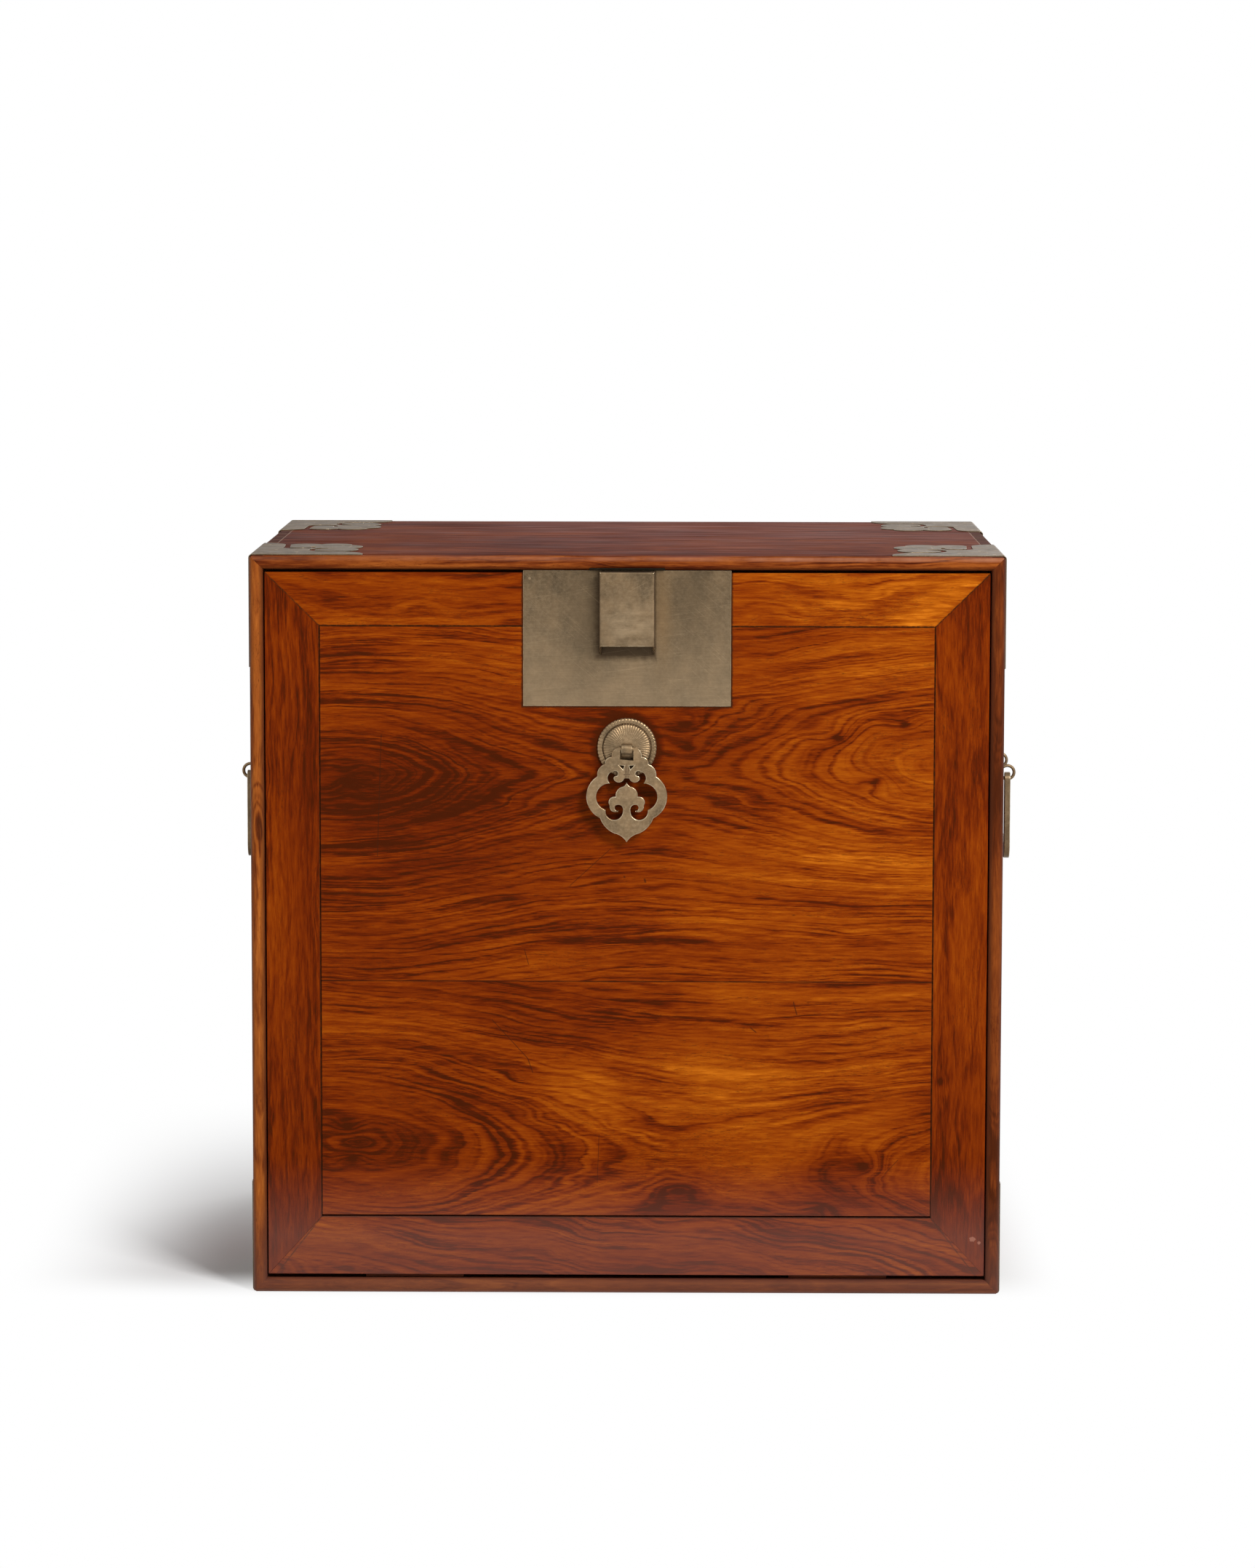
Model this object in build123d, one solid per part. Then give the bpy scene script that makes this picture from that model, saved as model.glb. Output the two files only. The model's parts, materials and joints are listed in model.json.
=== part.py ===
from build123d import *
import math
import os

# A square travelling chest of dovetailed rosewood boards with a lift-out front door.
# Units are millimetres. The origin is the middle of the bottom face, +Z is up,
# and the door faces -Y.

# ---- case ----
WIDTH = 440.0
DEPTH = 330.0
HEIGHT = 436.0
BOARD = 8.0               # thickness of the four case boards
NOSE = 2.4                # how far the rounded front edge of a board stands forward
EDGE_BEVEL = 1.6          # the long outer edges are eased by this much

# ---- case corner joints ----
MITRE_RUN = 12.0          # the front of each corner is mitred over this depth
TAIL_PITCH = 28.0
TAIL_ROOT = 9.0           # width of a tail where it leaves the side board
TAIL_END = 14.0           # width of a tail at its end grain

# ---- back ----
BACK_THICK = 5.0
BACK_INSET = 9.0          # from the rear edges of the case to the back boards
BACK_GROOVE = 3.0         # groove depth in the case boards
BACK_CLEAR = 0.3

# ---- shelf ----
SHELF_THICK = 9.0
SHELF_BELOW = 4.0         # from the case's mid-height down to the shelf's mid-thickness
SHELF_SETBACK = 34.0      # from the case's front to the shelf's front edge
SHELF_DADO = 3.0
SHELF_CLEAR = 0.2

# ---- door frame and panel ----
DOOR_THICK = 14.0
DOOR_SETBACK = 2.5        # the door's face lies behind the case's front crest
DOOR_SIDE_GAP = 0.8
DOOR_TOP_GAP = 1.8
DOOR_BOTTOM_GAP = 2.6
STILE_WIDTH = 31.7
TOP_RAIL = 31.2
BOTTOM_RAIL = 34.7
TENON_THICK = 4.6
TENON_LENGTH = 22.0
TENON_SHOULDER = 7.0      # from the rail's outer edge to its tenon
TENON_HAUNCH = 1.0        # between the panel's groove and the tenon
PANEL_THICK = 8.0
PANEL_TONGUE = 4.0        # thickness of the tongue round the panel
PANEL_ENTRY = 4.0         # how far the tongue enters the frame
PANEL_CLEAR = 0.2         # joint line round the panel
PANEL_SHRINK = 1.0        # open line below the panel, which has shrunk across its grain
SEAM_SHARE = 0.402        # the lower panel board's share of the panel's height
BATTEN_X = 66.0
BATTEN_WIDTH = 18.0
BATTEN_WAIST = 14.0       # width of the batten at the panel's back
BATTEN_SINK = 2.4         # how deep the dovetailed foot sinks into the panel
BATTEN_TENON = 6.0
BATTEN_STEP = 1.0         # the batten lies this far under the frame's back

# ---- door pegs, stops and tilt ----
PEG_X = 125.0
PEG_LENGTH = 58.0
PEG_THICK = 5.0
PEG_FROM_FACE = 5.5       # from the door's face to the peg
PEG_ENTRY = 3.6           # how far a peg enters the bottom board
SOCKET_CLEAR = 0.3
SOCKET_SWING = 1.4        # extra room behind a peg for the door's tilt
STOP_WIDTH = 6.0
STOP_CLEAR = 0.3

# ---- lock ----
PLATE_WIDTH = 121.2
PLATE_HEIGHT = 79.4
PLATE_OVER = 1.4          # the plate stands this far above the door's top edge
PLATE_THICK = 1.2
HOUSING_WIDTH = 32.0
HOUSING_DEPTH = 11.0
HOUSING_TALL = 49.0       # at the plate
HOUSING_FACE = 43.1       # height of its front face, which stops short of the plate's
HOUSING_WALL = 1.2
HOUSING_ROUND = 1.1
HOUSING_DROP = 0.3        # top of the housing below the top of the plate
BOLT_WIDTH = 14.0
BOLT_THICK = 3.4
BOLT_LENGTH = 44.0
BOLT_CLEAR = 0.2
BOLT_SUNK = 0.3           # unlocked, the bolt's end lies this far under the door's top
BOLT_TRAVEL = 6.5
STUD_RADIUS = 2.5
STUD_FROM_TOP = 34.0      # from the bolt's end to its stud
STUD_CLEAR = 0.4
TAB_WIDTH = 18.0
TAB_THICK = 2.0
TAB_TALL = 15.0
TAB_OUT = 4.2             # from the plate's face to the tab
SPRING_THICK = 0.6
SPRING_WIDTH = 4.0
SPRING_LENGTH = 17.0
SPRING_CLEAR = 0.3
MORTISE_DEEP = 5.2
MORTISE_CLEAR = 0.8
STRIKE_LENGTH = 44.0
STRIKE_WIDTH = 11.0
STRIKE_THICK = 1.0

# ---- pull ----
PULL_GAP = 6.8            # from the lock plate down to the rosette's rim
PIVOT_OUT = 8.0           # from the door's face to the pivot
ROSETTE_RADIUS = 17.4
ROSETTE_VALLEY = 14.9     # radius where the fluted rim drops to the valley
ROSETTE_CONE = 13.5       # foot of the fluted cone inside the valley
ROSETTE_CROWN = 3.4       # top of the cone, under the strap
ROSETTE_BASE = 0.9        # thickness of the sheet in the valley
RIM_HEIGHT = 2.6
CONE_HEIGHT = 4.4
ROSETTE_FLUTES = 44
FLUTE_DEPTH = 0.6
STRAP_WIDTH = 6.2
STRAP_THICK = 1.0
STRAP_CLENCH = 9.0        # length of each leg's end, bent flat inside the door
PIN_RADIUS = 1.3
PIN_PLAY = 0.9            # play of the pin in the strap's loop
PENDANT_THICK = 2.6
PENDANT_PLAY = 0.8        # between the strap and each ear of the pendant

# ---- side handles ----
HANDLE_DROP = 140.0       # from the case's top down to the eyes' middle
EYE_SPACING = 70.0
EYE_OUT = 10.6            # from the side board to the eye's middle
EYE_RADIUS = 4.1          # of the ring, to the middle of its wire
WIRE_RADIUS = 0.95
LEG_RADIUS = 1.5          # the two half-round legs of an eye, laid together
LEG_CLEAR = 0.15          # play of the legs in the board, backplate and washer
LEG_SPREAD = 8.0          # how far each leg's end is bent aside inside the case
BAIL_THICK = 3.4
BAIL_DROP = 53.0          # from the eye's middle to the bottom of the bail
BAIL_BAR = 9.0            # height of the bar that the fingers hold
BAIL_EAR = 4.3            # radius of each ear, which is also half an arm's width
BAIL_PLAY = 0.95          # play of the wire in the ear
BAIL_ROUND = 9.0
BACKPLATE_RADIUS = 10.5
BACKPLATE_CROWN = 4.0     # top of the fluted cone of an eye's backplate
BACKPLATE_RIM = 0.6       # thickness at its edge
BACKPLATE_HEIGHT = 1.8
BACKPLATE_FLUTES = 12
WASHER = 13.0             # side of the square washers inside
WASHER_THICK = 1.0

# ---- corner mounts ----
MOUNT_THICK = 0.6         # laid on the wood, but let in flush under the case
MOUNT_ACROSS = 66.0       # reach away from the fold, along the front or rear edge
MOUNT_ALONG = 100.0       # reach along the fold
MOUNT_FLANGE = 14.0       # width of the plain flange under the case
MOUNT_SETBACK = 3.5       # behind the case's front crest
MOUNT_FRINGE = 0.6        # in front of the case's rear edges

# ---- derived places ----
HALF_WIDTH = WIDTH / 2
FRONT = -DEPTH / 2
REAR = DEPTH / 2
INNER_X = HALF_WIDTH - BOARD
INNER_TOP = HEIGHT - BOARD
SHELF_MIDDLE = HEIGHT / 2 - SHELF_BELOW
DOOR_FACE = FRONT + DOOR_SETBACK
DOOR_BACK = DOOR_FACE + DOOR_THICK
DOOR_X = INNER_X - DOOR_SIDE_GAP
DOOR_TOP = INNER_TOP - DOOR_TOP_GAP
DOOR_BOTTOM = BOARD + DOOR_BOTTOM_GAP
PANEL_X = DOOR_X - STILE_WIDTH
PANEL_TOP = DOOR_TOP - TOP_RAIL
PANEL_BOTTOM = DOOR_BOTTOM + BOTTOM_RAIL
PANEL_SEAM = PANEL_BOTTOM + SEAM_SHARE * (PANEL_TOP - PANEL_BOTTOM)
PANEL_BACK = DOOR_FACE + PANEL_THICK
TONGUE_FRONT = PANEL_BACK - PANEL_TONGUE
PLATE_BACK = DOOR_FACE + PLATE_THICK
PLATE_TOP = DOOR_TOP + PLATE_OVER
PLATE_BOTTOM = PLATE_TOP - PLATE_HEIGHT
BOLT_FRONT = PLATE_BACK + BOLT_CLEAR
BOLT_BACK = BOLT_FRONT + BOLT_THICK
BOLT_TOP = DOOR_TOP - BOLT_SUNK
STUD_Z = BOLT_TOP - STUD_FROM_TOP
HOUSING_TOP = PLATE_TOP - HOUSING_DROP
HOUSING_FRONT = DOOR_FACE - HOUSING_DEPTH
TAB_BACK = DOOR_FACE - TAB_OUT
PULL_Z = PLATE_BOTTOM - PULL_GAP - ROSETTE_RADIUS
PIVOT_Y = DOOR_FACE - PIVOT_OUT
STRAP_RADIUS = PIN_RADIUS + PIN_PLAY + STRAP_THICK
BACK_REAR = REAR - BACK_INSET
BACK_FRONT = BACK_REAR - BACK_THICK
HANDLE_Z = HEIGHT - HANDLE_DROP
EYE_X = HALF_WIDTH + EYE_OUT
LEG_HOLE = LEG_RADIUS + LEG_CLEAR
BAIL_HOLE = WIRE_RADIUS + BAIL_PLAY
EYE_YS = (-EYE_SPACING / 2, EYE_SPACING / 2)


# ---- drawing aids ----
def block(x0, x1, y0, y1, z0, z1):
    return Pos((x0 + x1) / 2, (y0 + y1) / 2, (z0 + z1) / 2) * Box(x1 - x0, y1 - y0, z1 - z0)


def outline_edges(start, steps):
    """Edges from point to point: a step is an end point, or a (middle, end) pair for an arc."""
    edges = []
    here = start
    for step in steps:
        if isinstance(step[0], tuple):
            middle, end = step
            edges.append(ThreePointArc(here, middle, end))
        else:
            end = step
            edges.append(Line(here, end))
        here = end
    return edges


def outline(start, *steps):
    """A closed face, with a straight side back to the start where the steps end elsewhere."""
    last = steps[-1][-1] if isinstance(steps[-1][0], tuple) else steps[-1]
    closing = [] if last == start else [start]
    return make_face(outline_edges(start, list(steps) + closing))


def prism_x(face, x0, x1):
    """A face drawn in (y, z), carried from x0 to x1."""
    return extrude(Plane.YZ.offset(x0) * face, x1 - x0)


def prism_y(face, y0, y1):
    """A face drawn in (x, z), carried from y0 to y1."""
    return extrude(Plane.XZ.offset(-y1) * face, y1 - y0)


def prism_z(face, z0, z1):
    """A face drawn in (x, y), carried from z0 to z1."""
    return extrude(Plane.XY.offset(z0) * face, z1 - z0)


def rod(start, end, radius):
    """A round bar between two points."""
    path = Line(start, end)
    return extrude(Plane(origin=start, z_dir=path % 0) * Circle(radius), path.length)


def flipped(shape, side):
    """The shape itself for side 1, or its mirror image across the middle for side -1."""
    return shape if side == 1 else mirror(shape, Plane.YZ)


def solids_of(shape):
    return [solid for solid in shape.solids()]


# ---- case ----
def tail_ranges():
    """(lowest y, highest y) of each tail's middle, evenly along the joint behind the mitre."""
    run = DEPTH - MITRE_RUN
    count = int(run // TAIL_PITCH)
    first = FRONT + MITRE_RUN + (run - (count - 1) * TAIL_PITCH) / 2
    return [first + i * TAIL_PITCH for i in range(count)]


def side_corner(z_in, z_out):
    """What the right-hand side board owns of one corner: a mitred front and a row of tails."""
    mitre = outline((INNER_X, z_in), (HALF_WIDTH, z_in), (HALF_WIDTH, z_out))
    owned = prism_y(mitre, FRONT, FRONT + MITRE_RUN)
    for middle in tail_ranges():
        tail = outline(
            (middle - TAIL_ROOT / 2, z_in), (middle + TAIL_ROOT / 2, z_in),
            (middle + TAIL_END / 2, z_out), (middle - TAIL_END / 2, z_out),
        )
        owned += prism_x(tail, INNER_X, HALF_WIDTH)
    return owned


def board_profile(low, high):
    """Section of a case board: square behind, with a crowned front edge."""
    middle = (low + high) / 2
    return outline(
        (FRONT + NOSE, low), (REAR, low), (REAR, high), (FRONT + NOSE, high),
        ((FRONT, middle), (FRONT + NOSE, low)),
    )


def long_edge_cutter():
    """The four slivers that the eased long edges lose."""
    whole = block(-HALF_WIDTH, HALF_WIDTH, FRONT, REAR, 0, HEIGHT)
    return whole - chamfer(whole.edges().filter_by(Axis.Y), EDGE_BEVEL)


def case_blanks():
    """Top, bottom, left and right boards, jointed at the corners, before grooves and inlays."""
    top_corner = side_corner(INNER_TOP, HEIGHT)
    bottom_corner = side_corner(BOARD, 0)
    slivers = long_edge_cutter()
    corners = Part() + top_corner + bottom_corner
    corners += mirror(top_corner, Plane.YZ) + mirror(bottom_corner, Plane.YZ)
    top = prism_x(board_profile(INNER_TOP, HEIGHT), -HALF_WIDTH, HALF_WIDTH) - corners - slivers
    bottom = prism_x(board_profile(0, BOARD), -HALF_WIDTH, HALF_WIDTH) - corners - slivers
    section = outline(
        (INNER_X, FRONT + NOSE),
        (((INNER_X + HALF_WIDTH) / 2, FRONT), (HALF_WIDTH, FRONT + NOSE)),
        (HALF_WIDTH, REAR), (INNER_X, REAR),
    )
    right = prism_z(section, 0, HEIGHT)
    right -= block(INNER_X, HALF_WIDTH, FRONT, REAR, INNER_TOP, HEIGHT) - top_corner
    right -= block(INNER_X, HALF_WIDTH, FRONT, REAR, 0, BOARD) - bottom_corner
    right -= slivers
    return top, bottom, mirror(right, Plane.YZ), right


def peg(x, grow=0.0, swing=0.0):
    """One peg under the door, or with room added the socket that it drops into."""
    front = DOOR_FACE + PEG_FROM_FACE
    return block(
        x - PEG_LENGTH / 2 - grow, x + PEG_LENGTH / 2 + grow,
        front - grow, front + PEG_THICK + grow + swing,
        BOARD - PEG_ENTRY - grow, DOOR_BOTTOM,
    )


def case_boards(mounts):
    """The four case boards with every groove, socket, mortise and hole cut, and the beds of
    the mounts' flanges under the case."""
    top, bottom, left, right = case_blanks()
    back_groove = block(
        -INNER_X - BACK_GROOVE, INNER_X + BACK_GROOVE, BACK_FRONT, BACK_REAR,
        BOARD - BACK_GROOVE, INNER_TOP + BACK_GROOVE,
    )
    dado = block(
        -INNER_X - SHELF_DADO, INNER_X + SHELF_DADO,
        FRONT + SHELF_SETBACK + SHELF_DADO, BACK_FRONT,
        SHELF_MIDDLE - SHELF_THICK / 2, SHELF_MIDDLE + SHELF_THICK / 2,
    )
    eye_holes = Part()
    for y in EYE_YS:
        eye_holes += rod((-HALF_WIDTH, y, HANDLE_Z), (HALF_WIDTH, y, HANDLE_Z), LEG_HOLE)
    top -= back_groove + bolt_mortise() + strike_blank()
    bottom -= back_groove
    for x in (-PEG_X, PEG_X):
        bottom -= peg(x, SOCKET_CLEAR, SOCKET_SWING)
    left -= back_groove + dado + eye_holes
    right -= back_groove + dado + eye_holes
    for end in ("front", "rear"):
        left_mount = mounts[f"bottom_{end}_left_mount"]
        right_mount = mounts[f"bottom_{end}_right_mount"]
        bottom -= left_mount + right_mount
        left -= left_mount
        right -= right_mount
    return {
        "top_board": top, "bottom_board": bottom,
        "left_side_board": left, "right_side_board": right,
    }


def back_boards():
    """Two boards held in a groove round the back of the case."""
    reach = BACK_GROOVE - BACK_CLEAR
    front, rear = BACK_FRONT + BACK_CLEAR / 2, BACK_REAR - BACK_CLEAR / 2
    seam = HEIGHT / 2
    lower = block(-INNER_X - reach, INNER_X + reach, front, rear, BOARD - reach, seam)
    upper = block(-INNER_X - reach, INNER_X + reach, front, rear, seam, INNER_TOP + reach)
    return {"lower_back_board": lower, "upper_back_board": upper}


def shelf():
    """A board housed in a stopped dado in each side board, notched at the front."""
    front = FRONT + SHELF_SETBACK
    low = SHELF_MIDDLE - SHELF_THICK / 2
    high = SHELF_MIDDLE + SHELF_THICK / 2
    body = block(-INNER_X + SHELF_CLEAR, INNER_X - SHELF_CLEAR,
                 front, BACK_FRONT - SHELF_CLEAR, low, high)
    front_edges = body.faces().sort_by(Axis.Y)[0].edges().filter_by(Axis.X)
    body = fillet(front_edges, SHELF_THICK / 4)
    reach = INNER_X + SHELF_DADO - SHELF_CLEAR
    tongue = block(-reach, reach, front + SHELF_DADO + SHELF_CLEAR, BACK_FRONT - SHELF_CLEAR,
                   low, high)
    return body + tongue


def door_stops():
    """Three strips glued inside the case, against which the door closes."""
    front = DOOR_BACK + STOP_CLEAR
    rear = front + STOP_WIDTH
    side = block(INNER_X - STOP_WIDTH, INNER_X, front, rear, BOARD, INNER_TOP)
    across = block(-INNER_X + STOP_WIDTH, INNER_X - STOP_WIDTH, front, rear,
                   INNER_TOP - STOP_WIDTH, INNER_TOP)
    return {
        "left_door_stop": mirror(side, Plane.YZ),
        "right_door_stop": side,
        "top_door_stop": across,
    }


# ---- corner mounts ----
def cloud_outline(reach_u, reach_v):
    """A cloud-head corner plate in (u, v), both measured along the edges from the corner.
    A tongue follows each edge, and the head between them curls back round two hooked slits."""
    half = [
        ((0.97, 0.14), (0.84, 0.235)),     # rounded end of the tongue
        (0.62, 0.245),                     # lower lip of the slit
        ((0.50, 0.36), (0.57, 0.53)),      # out round the hook
        (0.66, 0.53),
        (0.65, 0.485),                     # its blunt end
        ((0.56, 0.43), (0.63, 0.30)),      # back inside the hook
        (0.82, 0.285),                     # upper lip of the slit
        ((0.93, 0.42), (0.87, 0.56)),      # side lobe
        ((0.94, 0.73), (0.83, 0.83)),      # half of the end lobe
    ]
    ends = [(1.0, 0.0)] + [step[1] if isinstance(step[0], tuple) else step for step in half]
    other = []
    for start, step in zip(ends, half):
        back = start[::-1]
        other.append((step[0][::-1], back) if isinstance(step[0], tuple) else back)

    def placed(point):
        return (point[0] * reach_u, point[1] * reach_v)

    steps = []
    for step in half + other[::-1]:
        steps.append((placed(step[0]), placed(step[1])) if isinstance(step[0], tuple)
                     else placed(step))
    return outline((0.0, 0.0), placed((1.0, 0.0)), *steps)


def folded_block(grow):
    """The case's outer block, with its long edges rounded, grown on every side but the ends."""
    body = block(-HALF_WIDTH - grow, HALF_WIDTH + grow, FRONT - 1, REAR + 1, -grow, HEIGHT + grow)
    return fillet(body.edges().filter_by(Axis.Y), EDGE_BEVEL + grow)


def corner_mounts():
    """Eight sheet mounts, each folded over a long edge of the case: four on top, whose two
    leaves are cloud heads, and four below, with a plain flange let in under the case."""
    shell = folded_block(MOUNT_THICK) - folded_block(0)
    edge_x = HALF_WIDTH + MOUNT_THICK
    edge_z = HEIGHT + MOUNT_THICK
    start = FRONT + MOUNT_SETBACK
    under_sheet = HEIGHT - EDGE_BEVEL
    side_leaf = prism_x(
        Pos(start, edge_z) * mirror(cloud_outline(MOUNT_ALONG, MOUNT_ACROSS), Plane.XZ),
        HALF_WIDTH - EDGE_BEVEL, edge_x,
    )
    top_leaf = prism_z(
        Pos(edge_x, start) * mirror(cloud_outline(MOUNT_ACROSS, MOUNT_ALONG), Plane.YZ),
        under_sheet, edge_z,
    )
    flange = block(HALF_WIDTH - MOUNT_FLANGE, edge_x, start, start + MOUNT_ALONG,
                   under_sheet, edge_z)
    halfway = Plane.XY.offset(HEIGHT / 2)
    front_right = {
        "top": shell & (side_leaf + top_leaf),
        "bottom": Pos(0, 0, MOUNT_THICK) * mirror(shell & (side_leaf + flange), halfway),
    }
    mounts = {}
    for level, front in front_right.items():
        rear = mirror(Pos(0, MOUNT_FRINGE - MOUNT_SETBACK, 0) * front, Plane.XZ)
        mounts[f"{level}_front_right_mount"] = front
        mounts[f"{level}_front_left_mount"] = mirror(front, Plane.YZ)
        mounts[f"{level}_rear_right_mount"] = rear
        mounts[f"{level}_rear_left_mount"] = mirror(rear, Plane.YZ)
    return mounts


# ---- door ----
def panel_groove():
    """The groove round the inside of the door frame."""
    reach = PANEL_ENTRY + PANEL_CLEAR
    return block(
        -PANEL_X - reach, PANEL_X + reach, TONGUE_FRONT - PANEL_CLEAR / 2,
        PANEL_BACK + PANEL_CLEAR / 2, PANEL_BOTTOM - reach, PANEL_TOP + reach,
    )


def rail_tenons(low, high):
    """Both tenons of a rail: centred in its thickness, running into the stiles."""
    middle = (DOOR_FACE + DOOR_BACK) / 2
    right = block(PANEL_X, PANEL_X + TENON_LENGTH, middle - TENON_THICK / 2,
                  middle + TENON_THICK / 2, low, high)
    return right + mirror(right, Plane.YZ)


def plate_recess():
    """The bed of the lock plate and the channel of the bolt behind it."""
    bed = block(-PLATE_WIDTH / 2, PLATE_WIDTH / 2, DOOR_FACE, PLATE_BACK,
                PLATE_BOTTOM, PLATE_TOP)
    channel = block(
        -BOLT_WIDTH / 2 - BOLT_CLEAR, BOLT_WIDTH / 2 + BOLT_CLEAR,
        PLATE_BACK, BOLT_BACK + BOLT_CLEAR,
        BOLT_TOP - BOLT_LENGTH - BOLT_CLEAR, DOOR_TOP,
    )
    return bed + channel


def battens():
    """Two upright battens, dovetailed across the panel's back and tenoned into the rails."""
    foot = PANEL_BACK - BATTEN_SINK
    section = outline(
        (BATTEN_X - BATTEN_WIDTH / 2, foot), (BATTEN_X + BATTEN_WIDTH / 2, foot),
        (BATTEN_X + BATTEN_WAIST / 2, PANEL_BACK),
        (BATTEN_X + BATTEN_WAIST / 2, DOOR_BACK - BATTEN_STEP),
        (BATTEN_X - BATTEN_WAIST / 2, DOOR_BACK - BATTEN_STEP),
        (BATTEN_X - BATTEN_WAIST / 2, PANEL_BACK),
    )
    full = prism_z(section, PANEL_BOTTOM, PANEL_TOP)
    entry = block(
        BATTEN_X - BATTEN_WAIST / 2, BATTEN_X + BATTEN_WAIST / 2, PANEL_BACK + PANEL_CLEAR / 2,
        DOOR_BACK - 2 * BATTEN_STEP, PANEL_BOTTOM - BATTEN_TENON, PANEL_TOP + BATTEN_TENON,
    )
    right = full + entry
    return {"left_batten": mirror(right, Plane.YZ), "right_batten": right}


def door_frame(batten_pair):
    """Two stiles and two rails, mitred on the face and tenoned behind it."""
    right_area = outline(
        (PANEL_X, PANEL_BOTTOM), (DOOR_X, DOOR_BOTTOM), (DOOR_X, DOOR_TOP), (PANEL_X, PANEL_TOP),
    )
    top_area = outline(
        (-PANEL_X, PANEL_TOP), (PANEL_X, PANEL_TOP), (DOOR_X, DOOR_TOP), (-DOOR_X, DOOR_TOP),
    )
    bottom_area = outline(
        (-DOOR_X, DOOR_BOTTOM), (DOOR_X, DOOR_BOTTOM),
        (PANEL_X, PANEL_BOTTOM), (-PANEL_X, PANEL_BOTTOM),
    )
    inner = PANEL_ENTRY + TENON_HAUNCH
    top_tenons = rail_tenons(PANEL_TOP + inner, DOOR_TOP - TENON_SHOULDER)
    bottom_tenons = rail_tenons(DOOR_BOTTOM + TENON_SHOULDER, PANEL_BOTTOM - inner)
    groove = panel_groove()
    inserts = Part() + batten_pair["left_batten"] + batten_pair["right_batten"]
    right = prism_y(right_area, DOOR_FACE, DOOR_BACK) - top_tenons - bottom_tenons - groove
    top = prism_y(top_area, DOOR_FACE, DOOR_BACK) + top_tenons - groove
    top -= plate_recess() + inserts
    bottom = prism_y(bottom_area, DOOR_FACE, DOOR_BACK) + bottom_tenons - groove - inserts
    for x in (-PEG_X, PEG_X):
        bottom += peg(x)
    return {
        "left_stile": mirror(right, Plane.YZ), "right_stile": right,
        "top_rail": top, "bottom_rail": bottom,
    }


def door_panel(batten_pair):
    """The floating panel: two boards glued edge to edge, flush in front, tongued all round."""
    side = PANEL_X - PANEL_CLEAR
    body = block(-side, side, DOOR_FACE, PANEL_BACK,
                 PANEL_BOTTOM + PANEL_SHRINK, PANEL_TOP - PANEL_CLEAR)
    tongue = block(
        -PANEL_X - PANEL_ENTRY, PANEL_X + PANEL_ENTRY, TONGUE_FRONT, PANEL_BACK,
        PANEL_BOTTOM - PANEL_ENTRY + PANEL_SHRINK, PANEL_TOP + PANEL_ENTRY,
    )
    whole = body + tongue - plate_recess() - strap_legs(DOOR_FACE, PANEL_BACK)
    whole -= batten_pair["left_batten"] + batten_pair["right_batten"]
    lower_half = block(-DOOR_X, DOOR_X, DOOR_FACE, DOOR_BACK, 0, PANEL_SEAM)
    return {"upper_panel_board": whole - lower_half, "lower_panel_board": whole & lower_half}


# ---- lock ----
def bolt_mortise():
    """The pocket in the top board that the raised bolt enters."""
    return block(
        -BOLT_WIDTH / 2 - MORTISE_CLEAR, BOLT_WIDTH / 2 + MORTISE_CLEAR,
        BOLT_FRONT - MORTISE_CLEAR, BOLT_BACK + MORTISE_CLEAR,
        INNER_TOP, INNER_TOP + MORTISE_DEEP,
    )


def strike_blank():
    middle = (BOLT_FRONT + BOLT_BACK) / 2
    return block(-STRIKE_LENGTH / 2, STRIKE_LENGTH / 2, middle - STRIKE_WIDTH / 2,
                 middle + STRIKE_WIDTH / 2, INNER_TOP, INNER_TOP + STRIKE_THICK)


def lock_plate():
    """A flat plate let into the door's face, slotted for the bolt's stud."""
    plate = block(-PLATE_WIDTH / 2, PLATE_WIDTH / 2, DOOR_FACE, PLATE_BACK,
                  PLATE_BOTTOM, PLATE_TOP)
    reach = STUD_RADIUS + STUD_CLEAR
    slot = outline(
        (-reach, STUD_Z), ((0, STUD_Z - reach), (reach, STUD_Z)), (reach, STUD_Z + BOLT_TRAVEL),
        ((0, STUD_Z + BOLT_TRAVEL + reach), (-reach, STUD_Z + BOLT_TRAVEL)),
    )
    return plate - prism_y(slot, DOOR_FACE, PLATE_BACK)


def lock_housing():
    """A folded sheet hood soldered to the plate. It is open below, where its sides slope back."""
    half = HOUSING_WIDTH / 2
    shape = block(-half, half, HOUSING_FRONT, DOOR_FACE, HOUSING_TOP - HOUSING_TALL, HOUSING_TOP)
    front_edges = shape.faces().sort_by(Axis.Y)[0].edges()
    soft = front_edges.filter_by(Axis.Z) + front_edges.sort_by(Axis.Z)[-1:]
    shape = fillet(soft, HOUSING_ROUND)
    wall = HOUSING_WALL
    shape -= block(-half + wall, half - wall, HOUSING_FRONT + wall, DOOR_FACE,
                   HOUSING_TOP - HOUSING_TALL, HOUSING_TOP - wall)
    slope = outline(
        (HOUSING_FRONT, HOUSING_TOP - HOUSING_FACE), (HOUSING_FRONT, HOUSING_TOP - HOUSING_TALL),
        (DOOR_FACE, HOUSING_TOP - HOUSING_TALL),
    )
    return shape - prism_x(slope, -half, half)


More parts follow.
